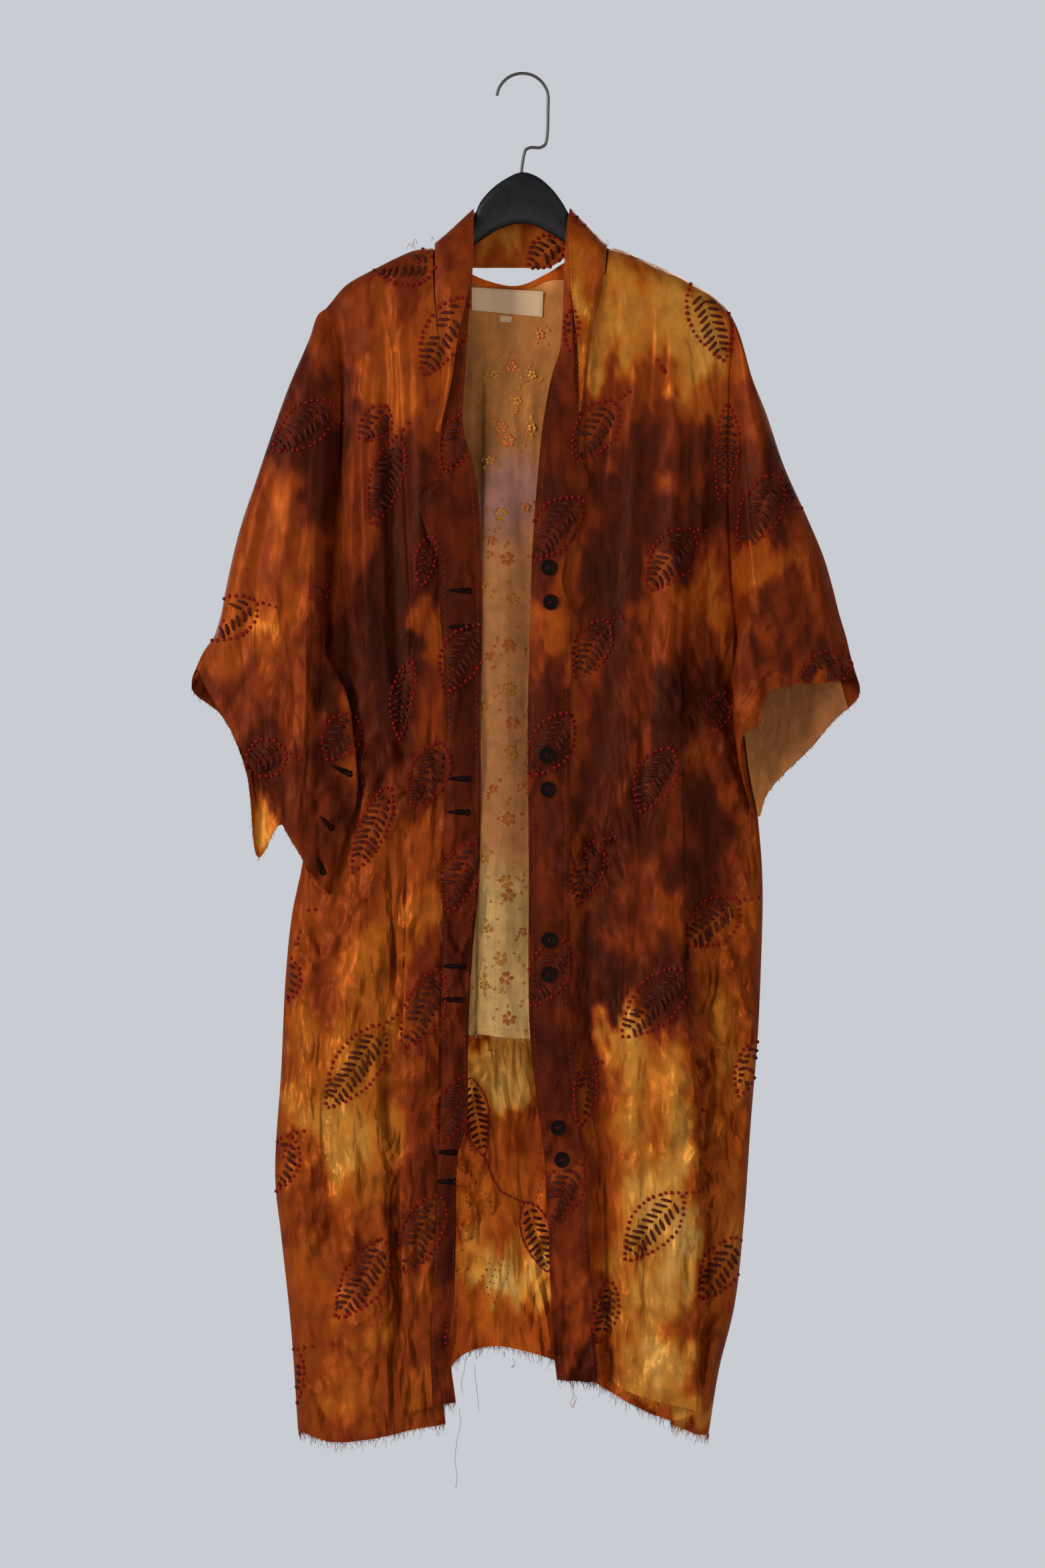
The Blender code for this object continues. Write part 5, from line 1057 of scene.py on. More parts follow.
def plain(name, colour, roughness, metallic=0.0, grain=600, depth=0.0002, spread=0.12, shine=0.5):
    """A material whose colour and gloss vary a little, with a fine grain."""
    made, nodes, links, shader = new_material(name)
    cloud = noise_node(nodes, links, grain / 4, 5.0)
    mottle(nodes, links, shader, cloud, colour, 1 - spread, 1 + spread)
    gloss = ramp_node(nodes, links, cloud.outputs["Fac"], 0.3, 0.7, roughness - 0.06, roughness + 0.08)
    links.new(gloss.outputs[0], shader.inputs["Roughness"])
    shader.inputs["Metallic"].default_value = metallic
    shader.inputs["Specular IOR Level"].default_value = shine
    fine = noise_node(nodes, links, grain, 3.0)
    bump = bump_node(nodes, links, fine.outputs["Fac"], 0.4, depth)
    links.new(bump.outputs["Normal"], shader.inputs["Normal"])
    return made


def thread(name, colour, roughness=0.55, shine=0.25):
    """Twisted embroidery thread."""
    made, nodes, links, shader = new_material(name)
    mottle(nodes, links, shader, noise_node(nodes, links, 250.0, 3.0), colour, 0.6, 1.35)
    shader.inputs["Roughness"].default_value = roughness
    shader.inputs["Specular IOR Level"].default_value = shine
    twist = noise_node(nodes, links, 2200.0, 2.0)
    bump = bump_node(nodes, links, twist.outputs["Fac"], 0.5, 0.0003)
    links.new(bump.outputs["Normal"], shader.inputs["Normal"])
    return made


# Meshes


def paint(mesh, colours):
    """Stores a colour for each point of the mesh, for the silk's material to read: dye, and on some pieces
    painted light and painted shade too.
    """
    attribute = mesh.color_attributes.new("dye_and_painted_light", "FLOAT_COLOR", "POINT")
    values = np.concatenate([colours, np.ones((len(colours), 1))], axis=1)
    attribute.data.foreach_set("color", values.astype(np.float32).ravel())


def place_piece(name, mesh, material):
    """Puts a mesh into the scene as a piece of the coat."""
    mesh.materials.append(material)
    made = bpy.data.objects.new(name, mesh)
    bpy.context.scene.collection.objects.link(made)
    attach(made, "root")
    return made


def grid_faces(columns, rows, closed):
    """The four-sided faces between the points of a grid."""
    i, k = np.meshgrid(np.arange(columns if closed else columns - 1), np.arange(rows - 1), indexing="ij")
    j = (i + 1) % columns
    quads = np.stack([i * rows + k, j * rows + k, j * rows + k + 1, i * rows + k + 1], axis=-1)
    return quads.reshape(-1, 4)


def mesh_object(name, material, points, faces, replaced=(), colours=None, sharp=60):
    """A piece with smooth shading, and sharp edges where its faces meet at a steep angle."""
    mesh = bpy.data.meshes.new(name)
    mesh.from_pydata(np.asarray(points).tolist(), [], faces)
    edit = bmesh.new()
    edit.from_mesh(mesh)
    bmesh.ops.recalc_face_normals(edit, faces=edit.faces)
    edit.to_mesh(mesh)
    edit.free()
    mesh.shade_smooth()
    mesh.set_sharp_from_angle(angle=math.radians(sharp))
    if colours is not None:
        paint(mesh, colours)
    made = place_piece(name, mesh, material)
    if replaced:
        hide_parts(*replaced)
    return made


def normals(grid, closed):
    """Unit normals of a grid of points, in x, drop, front."""
    if closed:
        across = np.roll(grid, -1, axis=0) - np.roll(grid, 1, axis=0)
    else:
        across = np.gradient(grid, axis=0)
    along = np.gradient(grid, axis=1)
    normal = np.cross(across, along)
    return normal / np.maximum(np.linalg.norm(normal, axis=-1, keepdims=True), 1e-9)


def shell(name, material, grid, colours, replaced, closed=False, thick=THIN, front_face_painted_light=1.0):
    """A thin closed wall on both sides of a grid of points, dyed through; the layer on the side of the
    normals can be painted paler, as painted light for a face that lies in shade.
    """
    normal = normals(grid, closed)
    columns, rows = grid.shape[:2]
    points = world(np.concatenate([
        (grid + normal * thick / 2).reshape(-1, 3),
        (grid - normal * thick / 2).reshape(-1, 3),
    ]))
    colours = colours.reshape(-1, 3)
    # The layer on the side of the normals takes the factor: painted light that makes a face in shade paler.
    colours = np.concatenate([np.minimum(colours * front_face_painted_light, PALEST), colours])
    second = columns * rows
    quads = grid_faces(columns, rows, closed)
    faces = [quads, quads[:, ::-1] + second]
    for k in (0, rows - 1):
        i = np.arange(columns if closed else columns - 1)
        a, b = i * rows + k, (i + 1) % columns * rows + k
        faces.append(np.stack([a, b, b + second, a + second], axis=-1))
    if not closed:
        for i in (0, columns - 1):
            a = i * rows + np.arange(rows - 1)
            faces.append(np.stack([a, a + 1, a + 1 + second, a + second], axis=-1))
    faces = np.concatenate(faces).tolist()
    return mesh_object(name, material, points, faces, replaced, colours)


class Cloth:
    """A quick way to find a finished sheet from the front or from behind."""

    made = {}

    def __init__(self, name, grid, closed=False):
        points = [Vector(point) for point in world(grid).reshape(-1, 3)]
        self.tree = BVHTree.FromPolygons(points, grid_faces(*grid.shape[:2], closed).tolist())
        Cloth.made[name] = self

    def find(self, x, drop, facing=1):
        """The sheet's place and outward direction there, in metres, or None."""
        start = Vector((x * MM, -0.3 * facing, -drop * MM))
        place, normal = self.tree.ray_cast(start, Vector((0, facing, 0)))[:2]
        if place is None:
            return None
        if normal.y * facing > 0:
            normal = -normal
        return place, normal


# Cloth pieces


def near_side(count, reach):
    """0 at the last column, and 1 from reach columns before it."""
    return np.clip(np.arange(count)[::-1] / reach, 0, 1)[:, None]


def front_grid(guides, side):
    """A front panel, from its opening edge to its side."""
    lines = [rounded_top(even_steps(rows, ROWS, TOP_BIAS)) for rows in guides.values()]
    edge = even_steps(side, ROWS, TOP_BIAS)
    edge[:, 2] = edge[:, 2] + SEAM
    lines.append(edge_roll(edge, lines[-1], 0.25, 0.62))
    lines.append(edge)
    grid = smooth(lines, PER)
    near_edge = near_side(len(grid), PER * 1.5)
    grid[..., 2] += folds(grid, FRONT_FOLDS) * near_edge * np.clip(grid[..., 1] / 40 - 5, 0, 1)
    grid[..., 2] += front_crinkle(grid) * near_edge
    return grid


def back_grid():
    """The back panel, from the wearer's right side to the left."""
    lines = []
    for side in (RIGHT_SIDE, LEFT_SIDE):
        edge = even_steps(side, BACK_ROWS, TOP_BIAS)
        edge[:, 2] = -edge[:, 2] - SEAM
        lines.append(edge)
    inner = []
    for top_x, neck_drop, hem_x, hem, *backs in BACK_GUIDES:
        top = neck_drop or float(shoulder_drop(top_x))
        rows = [
            (top_x + (hem_x - top_x) * (drop - top) / (hem - top), drop, -back)
            for drop, back in zip([top, 500, 900, hem], backs)
        ]
        line = even_steps(rows, BACK_ROWS, TOP_BIAS)
        inner.append(line if neck_drop else rounded_top(line))
    rolls = [edge_roll(lines[0], inner[0], 0.3, 0.7), edge_roll(lines[1], inner[-1], 0.3, 0.7)]
    grid = smooth([lines[0], rolls[0], *inner, rolls[1], lines[1]], BACK_PER)
    near_edge = np.minimum(near_side(len(grid), BACK_PER * 2), near_side(len(grid), BACK_PER * 2)[::-1])
    grid[..., 2] -= folds(grid, BACK_FOLDS) * near_edge
    grid[..., 2] = np.minimum(grid[..., 2], -SEAM)
    grid[..., 2] -= back_crinkle(grid) * near_edge * np.clip((-grid[..., 2] - 3) / 10, 0, 1)
    return grid


def strip_grid(guides, steps, per, top_roll=False):
    """A band or a collar end, whose guide lines run down its length."""
    lines = [even_steps(guide, steps) for guide in guides]
    if top_roll:
        lines = [rounded_top(line) for line in lines]
    grid = smooth(lines, per)
    grid[..., 2] += front_crinkle(grid)
    return grid


def sleeve_grid(table, side):
    """An open tube of points, whose guide lines run from the armhole to the cuff."""
    edge = even_steps(side, 200)
    outward = -1 if side[0][0] < 0 else 1
    lines = []
    for drop, face, rows in table:
        x = np.interp(drop, edge[:, 1], edge[:, 0]) + outward * ARMHOLE_SEAM
        front = np.interp(drop, edge[:, 1], edge[:, 2]) * face
        lines.append(even_steps([(x, drop, front), *rows], SLEEVE_STEPS, 1.05))
    grid = smooth(lines, PER, closed=True)
    armhole = grid[:, 0]
    on_edge = [np.interp(armhole[:, 1], edge[:, 1], edge[:, axis]) for axis in (0, 2)]
    across = on_edge[0] - outward * ARMHOLE_OVERLAP - armhole[:, 0]
    forward = np.where(np.abs(armhole[:, 2]) > 1, np.sign(armhole[:, 2]) * on_edge[1] - armhole[:, 2], 0)
    fade = np.clip(1 - np.arange(grid.shape[1]) / 14, 0, 1)[None, :]
    grid[..., 0] += across[:, None] * fade
    grid[..., 2] += forward[:, None] * fade
    face = np.clip(grid[..., 2] / 12, -1, 1)
    begin = np.clip(np.arange(grid.shape[1]) / (SLEEVE_STEPS / 4), 0, 1)[None, :]
    grid[..., 2] += folds(grid, SLEEVE_FOLDS) * face * begin
    count = len(grid)
    bottom = 8 * PER  # the column of the bottom fold
    column = np.arange(count)
    in_front = np.clip(np.minimum(column, bottom - column) / (PER * 0.8), 0, 1)[:, None]
    behind = np.clip(np.minimum(column - bottom, count - column) / (PER * 0.8), 0, 1)[:, None]
    begin = np.clip(np.arange(grid.shape[1]) / (SLEEVE_STEPS / 8), 0, 1)[None, :]
    grid[..., 2] += (front_crinkle(grid) * in_front - back_crinkle(grid) * behind) * begin
    return grid


def lining_grid():
    """The back lining, which hangs loose in front of the back and never cuts into it."""
    lines = []
    for top_x, top, hem_x, hem, back_top, back_low in LINING_GUIDES:
        drops = [top, top + LINING_TURN, 245, 340, 600, hem]
        backs = [LINING_TOP, back_top, back_top, back_low, back_low, back_low]
        rows = [
            (top_x + (hem_x - top_x) * (drop - top) / (hem - top), drop, -back)
            for drop, back in zip(drops, backs)
        ]
        lines.append(even_steps(rows, LINING_ROWS, 1.1))
    grid = smooth(lines, BACK_PER)
    x, drop = grid[..., 0], grid[..., 1]
    loose = np.clip((drop - 225) / 60, 0, 1)
    lift = 0.8 * ridged(x / 21 + 0.7 * noise(x / 50, drop / 80, 205), drop / 240, 211)
    lift += 0.35 * noise(x / 9, drop / 45, 221)
    lift += 0.3 * ridged((x + 0.5 * drop) / 22, (drop - 0.5 * x) / 90, 231)
    grid[..., 2] += (lift + creases(grid, LINING_CREASES, 241)) * loose
    behind = Cloth("back", grids["back"])
    for place in grid.reshape(-1, 3):
        hit = behind.find(place[0], place[1])
        if hit is not None:
            place[2] = max(place[2], -hit[0].y / MM + LINING_CLEAR)
    return grid


def patch_grid(corners, fronts, columns, rows):
    """A small piece of cloth between four corners, given as x and drop, a little wavy."""
    (ax, ad), (bx, bd), (cx, cd), (dx, dd) = corners
    u = np.linspace(0, 1, columns + 1)[:, None]
    v = np.linspace(0, 1, rows + 1)[None, :]
    x = (ax + (bx - ax) * u) * (1 - v) + (dx + (cx - dx) * u) * v
    drop = (ad + (bd - ad) * u) * (1 - v) + (dd + (cd - dd) * u) * v
    front = fronts[0] + (fronts[1] - fronts[0]) * u + 0 * v
    return np.stack([x, drop, front + 0.25 * noise(x / 14, drop / 9, 301)], axis=-1)


def back_collar_grid():
    """The narrow collar band behind the neck."""
    lines = []
    for x, top, bottom, back_top, back_bottom in BACK_COLLAR:
        middle_back = (back_top + 3 * back_bottom) / 4
        rows = [(x, top, -back_top), (x, (top + bottom) / 2, -middle_back), (x, bottom, -back_bottom)]
        lines.append(even_steps(rows, 18))
    grid = smooth(lines, 7)
    grid[..., 2] += 0.35 * noise(grid[..., 0] / 9, grid[..., 1] / 16, 311)
    return grid


silk_red = silk("dyed_silk", 0.42, 0.0, 0.8, 0.24)
silk_band = silk("dyed_silk_band", 0.48, 0.0, 0.4, 0.18, (1.0, 0.5, 0.25))
silk_lining = silk("lining_silk", 0.5, 0.03, 0.4, 0.1, (1.0, 0.8, 0.55))
label_cloth = plain("label_tape", (204, 168, 128), 0.75, grain=1800, depth=0.0002, spread=0.08)
knot_thread = thread("knot_thread", (118, 13, 12), shine=0.12)
vein_thread = thread("vein_thread", (70, 28, 22), shine=0.06)
dark_thread = thread("buttonhole_thread", (24, 9, 8), shine=0.05)
crimson_thread = thread("crimson_thread", (140, 16, 34))
orange_thread = thread("orange_thread", (232, 124, 54))
gold_thread = thread("gold_thread", (250, 156, 60))
sewing_thread = thread("sewing_thread", (128, 54, 26))
pale_thread = thread("pale_sewing_thread", (214, 160, 110))
fray_thread = thread("fray_thread", (128, 56, 20))

grids = {
    "right_front": front_grid(RIGHT_FRONT, RIGHT_SIDE),
    "left_front": front_grid(LEFT_FRONT, LEFT_SIDE),
    "right_band": strip_grid(RIGHT_BAND, BAND_ROWS, 9),
    "left_band": strip_grid(LEFT_BAND, BAND_ROWS, 9),
    "right_collar": strip_grid(RIGHT_COLLAR, COLLAR_ROWS, 6, top_roll=True),
    "left_collar": strip_grid(LEFT_COLLAR, COLLAR_ROWS, 6, top_roll=True),
    "back_collar": back_collar_grid(),
    "right_sleeve": sleeve_grid(RIGHT_SLEEVE, RIGHT_SIDE),
    "left_sleeve": sleeve_grid(LEFT_SLEEVE, LEFT_SIDE),
    "back": back_grid(),
}
grids["back_lining"] = lining_grid()


DYED = {  # piece of cloth: its blotches, the tone between them, and the seed of its streaks
    "right_front": (RIGHT_FRONT_DYE, 0.4, 401),
    "left_front": (LEFT_FRONT_DYE, 0.4, 411),
    "right_sleeve": (RIGHT_SLEEVE_DYE, 0.4, 421),
    "left_sleeve": (LEFT_SLEEVE_DYE, 0.4, 431),
    "back": (BACK_DYE_AND_PAINTED_LIGHT, 0.42, 441),
    "right_band": (RIGHT_BAND_DYE, 0.2, 451),
    "left_band": (LEFT_BAND_DYE, 0.2, 461),
    "right_collar": (RIGHT_COLLAR_DYE, 0.45, 471),
    "left_collar": (LEFT_COLLAR_DYE, 0.5, 481),
    "back_collar": (BACK_COLLAR_DYE, 0.45, 491),
}


def cloth(name, material, closed=False, front_face_painted_light=1.0):
    """A dyed piece of cloth, which stands for the solid of its name."""
    grid = grids[name]
    Cloth(name, grid, closed)
    colours = dye_and_painted_light(grid, *DYED[name])
    return shell(name + "_cloth", material, grid, colours, [name], closed, front_face_painted_light=front_face_painted_light)


cloths = {
    "right_front": cloth("right_front", silk_red),
    "left_front": cloth("left_front", silk_red),
    "right_sleeve": cloth("right_sleeve", silk_red, closed=True),
    "left_sleeve": cloth("left_sleeve", silk_red, closed=True),
    # The back's inner face, seen through the opening, is painted almost twice as pale: painted light where
    # that face lies in shade.
    "back": cloth("back", silk_red, front_face_painted_light=1.95),
    "right_band": cloth("right_band", silk_band),
    "left_band": cloth("left_band", silk_band),
    "right_collar": cloth("right_collar", silk_red),
    "left_collar": cloth("left_collar", silk_red),
    "back_collar": cloth("back_collar", silk_red),
}

# Linings, label and tab


def lining_colours(grid, blotches, seed):
    """Peach to cream silk with a few stains and some blotches of painted shade, from a table of blotches
    that hold their own colours.
    """
    x, drop = grid[..., 0], grid[..., 1]
    sway = 8 * noise(x / 30, drop / 40, seed) + 4 * noise(x / 10, drop / 14, seed + 1)
    total = np.full(x.shape, 0.03)
    colour = total[..., None] * linear(*LINING_DYES["peach"])
    for at_x, at_drop, half_x, half_drop, name in blotches:
        away = ((x + sway - at_x) / half_x) ** 2 + ((drop + sway - at_drop) / half_drop) ** 2
        weight = np.exp(-1.3 * away)
        total += weight
        colour += weight[..., None] * linear(*LINING_DYES[name])
    colour = colour / total[..., None]
    return colour * (1 + 0.08 * layered(x / 12, drop / 40, seed + 2))[..., None]


def lining_piece(name, blotches, seed):
    """A piece of lining, which stands for the solid of its name."""
    grid = grids[name]
    Cloth(name, grid)
    colours = lining_colours(grid, blotches, seed)
    return shell(name + "_cloth", silk_lining, grid, colours, [name])


cloths["back_lining"] = lining_piece("back_lining", LINING_STAINS_AND_PAINTED_SHADE, 501)

CUFF_FROM = SLEEVE_STEPS * 45 // 100  # the row of the sleeve where its lining begins to show
CUFF_COLUMNS = slice(17 * PER // 2, 27 * PER // 2 + 1)  # columns of the sleeve that the lining follows


def cuff_lining_grid():
    """The lining inside the left cuff: a part of the sleeve's own grid, moved inward."""
    whole = grids["left_sleeve"]
    inward = normals(whole, True)
    inward = inward * -np.sign(np.mean(inward[3 * PER // 2:9 * PER // 2, :, 2]))
    return (whole + inward * LINING_GAP)[CUFF_COLUMNS, CUFF_FROM:].copy()


grids["left_sleeve_lining"] = cuff_lining_grid()
cloths["left_sleeve_lining"] = lining_piece("left_sleeve_lining", CUFF_STAINS_AND_PAINTED_SHADE, 511)

for name, corners, front, replaced in (
    ("neck_label_tape", [(-49, 204), (20, 208), (19, 232.5), (-49, 226)], -10.4, "neck_label"),
    ("size_tab_tape", [(-22, 231), (-10, 232), (-11.5, 238), (-22, 237)], -10.85, "size_tab"),
):
    grid = patch_grid(corners, (front, front), 34, 14)
    grids[replaced] = grid
    Cloth(replaced, grid)
    colours = np.full(grid.shape, 0.5)
    cloths[replaced] = shell(name, label_cloth, grid, colours, [replaced], thick=0.6)

# Thread work

FRONT_CLOTHS = [
    "right_front", "left_front", "right_band", "left_band", "right_collar", "left_collar",
    "right_sleeve", "left_sleeve", "back_collar",
]
BACK_CLOTHS = ["back", "right_sleeve", "left_sleeve"]


def between(start, end, share):
    """The place at a share of the way from start to end, each an x and a drop."""
    return start[0] + (end[0] - start[0]) * share, start[1] + (end[1] - start[1]) * share


def around(x, drop, turn, reach):
    """The place at a distance of reach from x and drop, in the direction turn."""
    return x + reach * math.cos(turn), drop + reach * math.sin(turn)


def find_first(names, x, drop, facing=1):
    """The place and outward direction on whichever of the named cloths is nearest to the viewer there."""
    best = None
    for name in names:
        hit = Cloth.made[name].find(x, drop, facing)
        if hit is not None and (best is None or hit[0].y * facing < best[0].y * facing):
            best = hit
    return best


class Threads:
    """Collects many small solids of one thread, and makes them one mesh."""

    def __init__(self):
        self.points = []
        self.faces = []
        self.colours = []
        self.count = 0

    def add(self, points, faces, colour=None):
        self.points.append(points)
        self.faces.append(faces + self.count)
        if colour is not None:
            self.colours.append(np.tile(colour, (len(points), 1)))
        self.count += len(points)

    def build(self, name, material, slot):
        mesh = bpy.data.meshes.new(name)
        mesh.from_pydata(np.concatenate(self.points).tolist(), [], np.concatenate(self.faces).tolist())
        mesh.shade_smooth()
        if self.colours:
            paint(mesh, np.concatenate(self.colours))
        return place_piece(name, mesh, material)


def ball_template():
    """Points and triangles of a small round ball."""
    mesh = bmesh.new()
    bmesh.ops.create_uvsphere(mesh, u_segments=8, v_segments=4, radius=1.0)
    bmesh.ops.triangulate(mesh, faces=mesh.faces)
    points = np.array([list(vertex.co) for vertex in mesh.verts])
    faces = np.array([[vertex.index for vertex in face.verts] for face in mesh.faces])
    mesh.free()
    return points, faces


BALL_POINTS, BALL_FACES = ball_template()
KNOT = 1.85            # radius of an embroidered knot
KNOT_STEP = 5.8        # distance between knots
BUTTON_CLEAR = 9.5     # distance from the middle of a button to the nearest embroidery
VEIN_STEP = 6.2        # distance between the stitches along a leaf
ASLANT = np.array([0.31, 0.83, 0.46])  # a direction that hardly any thread runs in
chance = np.random.default_rng(77)


def knot(threads, hit, radius=KNOT):
    """A round wound knot on the cloth."""
    place, normal = hit
    size = radius * chance.uniform(0.86, 1.14) * MM
    first = normal.orthogonal().normalized()
    second = normal.cross(first)
    turn = chance.uniform(0, math.pi)
    x, y, z = BALL_POINTS.T
    wound = 1 + 0.12 * np.sin(3 * np.arctan2(y, x) + turn + 4 * z)
    local = BALL_POINTS * wound[:, None] * size * [1.0, 1.0, 0.72]
    frame_axes = np.array([list(first), list(second), list(normal)])
    threads.add(local @ frame_axes + np.array(place + normal * size * 0.66), BALL_FACES)


def tube(threads, line, radius, sides=5, colour=None):
    """A closed round thread along a line of places in metres, thinner at its ends."""
    line = np.asarray(line, dtype=float)
    count = len(line)
    along = np.gradient(line, axis=0)
    along /= np.maximum(np.linalg.norm(along, axis=1, keepdims=True), 1e-9)
    first = np.cross(along, ASLANT if abs(along[0] @ ASLANT) < 0.9 else [1.0, 0.0, 0.0])
    first /= np.linalg.norm(first, axis=1, keepdims=True)
    second = np.cross(along, first)
    turn = 2 * math.pi * np.arange(sides) / sides
    size = np.full(count, radius * MM)
    size[[0, -1]] *= 0.6
    ring = first[:, None] * np.cos(turn)[None, :, None] + second[:, None] * np.sin(turn)[None, :, None]
    points = (line[:, None] + ring * size[:, None, None]).reshape(-1, 3)
    side = np.arange(sides)
    faces = []
    for k in range(count - 1):
        a, b = k * sides, (k + 1) * sides
        faces.append(np.stack([a + side, a + (side + 1) % sides, b + (side + 1) % sides, b + side], axis=1))
    faces = np.concatenate(faces)
    faces = np.concatenate([faces[:, [0, 1, 2]], faces[:, [0, 2, 3]]])
    fan = np.arange(1, sides - 1)
    last = (count - 1) * sides
    caps = np.concatenate([
        np.stack([np.zeros_like(fan), fan + 1, fan], axis=1),
        np.stack([last + 0 * fan, last + fan, last + fan + 1], axis=1),
    ])
    threads.add(points, np.concatenate([faces, caps]), colour)


def stitch(threads, names, start, end, radius, facing=1, rise=0.5, steps=4, sides=5):
    """One stitch between two places (x, drop): it rises out of the cloth, crosses it and goes back in."""
    line = []
    for share in np.linspace(0, 1, steps + 1):
        hit = find_first(names, *between(start, end, share), facing)
        if hit is None:
            return
        place, normal = hit
        arch = math.sin(math.pi * share)
        lift = (arch * (rise + radius) - (1 - arch) * 0.2 + 0.25) * MM
        line.append(np.array(place + normal * lift))
    line = np.array(line)
    if np.abs(np.diff(line[:, 1])).max() > 4 * MM:
        return
    tube(threads, line, radius, sides)


def by_button(x, drop, facing):
    """Whether a place in front is under a button or too near to one to be worked."""
    return facing > 0 and any(math.dist((x, drop), place) < BUTTON_CLEAR for place in BUTTONS)


def leaf_half(share):
    """Half of a leaf's breadth, 0 to 1, at a share of its length."""
    return np.sin(math.pi * share ** 0.86) ** 0.78


def leaf(knots, veins, names, base_x, base_drop, tip_x, tip_drop, width, stem, facing=1, chain=None):
    """A leaf: an outline of knots, two rows of slanting stitches along its middle, and a dotted stem."""
    length = math.hypot(tip_x - base_x, tip_drop - base_drop)
    ax, ad = (tip_x - base_x) / length, (tip_drop - base_drop) / length
    bend = chance.uniform(-0.05, 0.05) * length

    def at(share, across):
        sway = bend * math.sin(math.pi * share)
        across += sway
        return base_x + ax * share * length - ad * across, base_drop + ad * share * length + ax * across

    there, back = np.linspace(0, 1, 60), np.linspace(1, 0, 60)[1:]
    halves = np.concatenate([leaf_half(there), -leaf_half(back)]) * width / 2
    outline = np.array([at(share, half) for share, half in zip([*there, *back], halves)])
    run = run_of(outline)
    steps = max(6, int(round(run[-1] / KNOT_STEP)))
    for k in range(steps):
        x, drop = follow(outline, run, run[-1] * (k + 0.5) / steps)
        x, drop = x + chance.uniform(-0.5, 0.5), drop + chance.uniform(-0.5, 0.5)
        if by_button(x, drop, facing):
            continue
        if chain is not None:
            end = follow(outline, run, run[-1] * (k + 1.45) / steps % run[-1])
            stitch(chain, names, (x, drop), end, 0.8, facing)
            continue
        hit = find_first(names, x, drop, facing)
        if hit is not None and abs(hit[1].y) > 0.12:
            knot(knots, hit)
    rows = int(length * 0.8 / VEIN_STEP)
    for k in range(rows):
        share = 0.1 + 0.8 * (k + 0.5) / rows
        reach = leaf_half(share) * width / 2 - 4.0
        if reach < 2.2:
            continue
        for side in (1, -1):
            here = share + chance.uniform(-0.008, 0.008)
            long = min(reach, 10.5) * chance.uniform(0.85, 1.05)
            start = at(here, side * 1.3)
            end = at(here + long * 0.5 / length, side * (1.3 + long))
            if not by_button(*start, facing) and not by_button(*end, facing):
                stitch(veins, names, start, end, 1.5, facing, 0.4)
        if chance.random() < 0.2 and chain is None and not by_button(*at(share, 0), facing):
            hit = find_first(names, *at(share, chance.uniform(-3, 3)), facing)
            if hit is not None:
                knot(knots, hit, KNOT * 0.85)
    if stem is not None:
        dots(knots, names, base_x, base_drop, *stem, facing)


def dots(knots, names, from_x, from_drop, to_x, to_drop, facing=1):
    """A row of single knots."""
    count = max(1, int(round(math.hypot(to_x - from_x, to_drop - from_drop) / (KNOT_STEP * 1.1))))
    for k in range(count):
        place = between((from_x, from_drop), (to_x, to_drop), (k + 1) / count)
        hit = find_first(names, *place, facing)
        if hit is not None:
            knot(knots, hit, KNOT * 0.9)


for side, leaves in (("right", RIGHT_LEAVES), ("left", LEFT_LEAVES)):
    knots, veins = Threads(), Threads()
    for row in leaves:
        leaf(knots, veins, FRONT_CLOTHS, *row)
    if side == "right":
        for row in DOT_ROWS:
            dots(knots, FRONT_CLOTHS, *row)
    knots.build(f"{side}_front_knots", knot_thread, "silk")
    veins.build(f"{side}_front_veins", vein_thread, "silk")

knots, veins = Threads(), Threads()
for row in BACK_LEAVES:
    leaf(knots, veins, BACK_CLOTHS, *row, facing=-1)
knots.build("back_knots", knot_thread, "silk")
veins.build("back_veins", vein_thread, "silk")

chains, veins = Threads(), Threads()
for row in INNER_LEAVES:
    leaf(None, veins, ["back"], *row, None, chain=chains)
for start, end in zip(INNER_STEM, INNER_STEM[1:]):
    steps = int(math.dist(start, end) / 5)
    for k in range(steps):
        stitch(chains, ["back"], between(start, end, k / steps), between(start, end, (k + 0.9) / steps), 0.8)
chains.build("inner_chain_stitches", crimson_thread, "silk")
veins.build("inner_veins", vein_thread, "silk")

# Flowers on the linings


def flower(petals, name, x, drop, reach):
    """A small spray: satin petals round a middle, with loose leaves beside them."""
    count = 6 if reach > 7 else 5
    begin = chance.uniform(0, 6.28)
    for k in range(count):
        turn = begin + 2 * math.pi * k / count + chance.uniform(-0.25, 0.25)
        for spread in (-0.3, -0.1, 0.1, 0.3):
            long = reach * chance.uniform(0.8, 1.0) * (1 - abs(spread) * 0.7)
            start, end = around(x, drop, turn, 0.2 * reach), around(x, drop, turn + spread, long)
            stitch(petals, [name], start, end, 0.62, 1, 0.35, 3, 4)
    for k in range(7 if reach > 7 else 5):
        turn = chance.uniform(0, 6.28)
        far = reach * chance.uniform(1.25, 2.3)
        start = around(x, drop, turn, far)
        for spread in (-0.5, 0.5):
            stitch(petals, [name], start, around(*start, turn * 2 + spread, 3.4), 0.5, 1, 0.3, 2, 4)


petals = [Threads(), Threads()]
for x, drop, reach, which in SPRAYS:
    flower(petals[which], "back_lining", x, drop, reach)
for x, drop, reach, which in CUFF_SPRAYS:
    flower(petals[which], "left_sleeve_lining", x, drop, reach)
petals[0].build("lining_flowers_orange", orange_thread, "lining")
petals[1].build("lining_flowers_gold", gold_thread, "lining")

# Sewing lines


def sewing_line(threads, line, out, step=4.6):
    """Machine stitches along a line of x, drop, front. out points away from the cloth at each place."""
    run = run_of(line)
    lift = THIN / 2 + np.array([-0.1, 0.2, -0.1])
    for k in range(int(run[-1] / step)):
        wanted = (k + np.array([0.0, 0.32, 0.64])) * step
        places = follow(line, run, wanted) + follow(out, run, wanted) * lift[:, None]
        tube(threads, world(places), 0.3, 4)


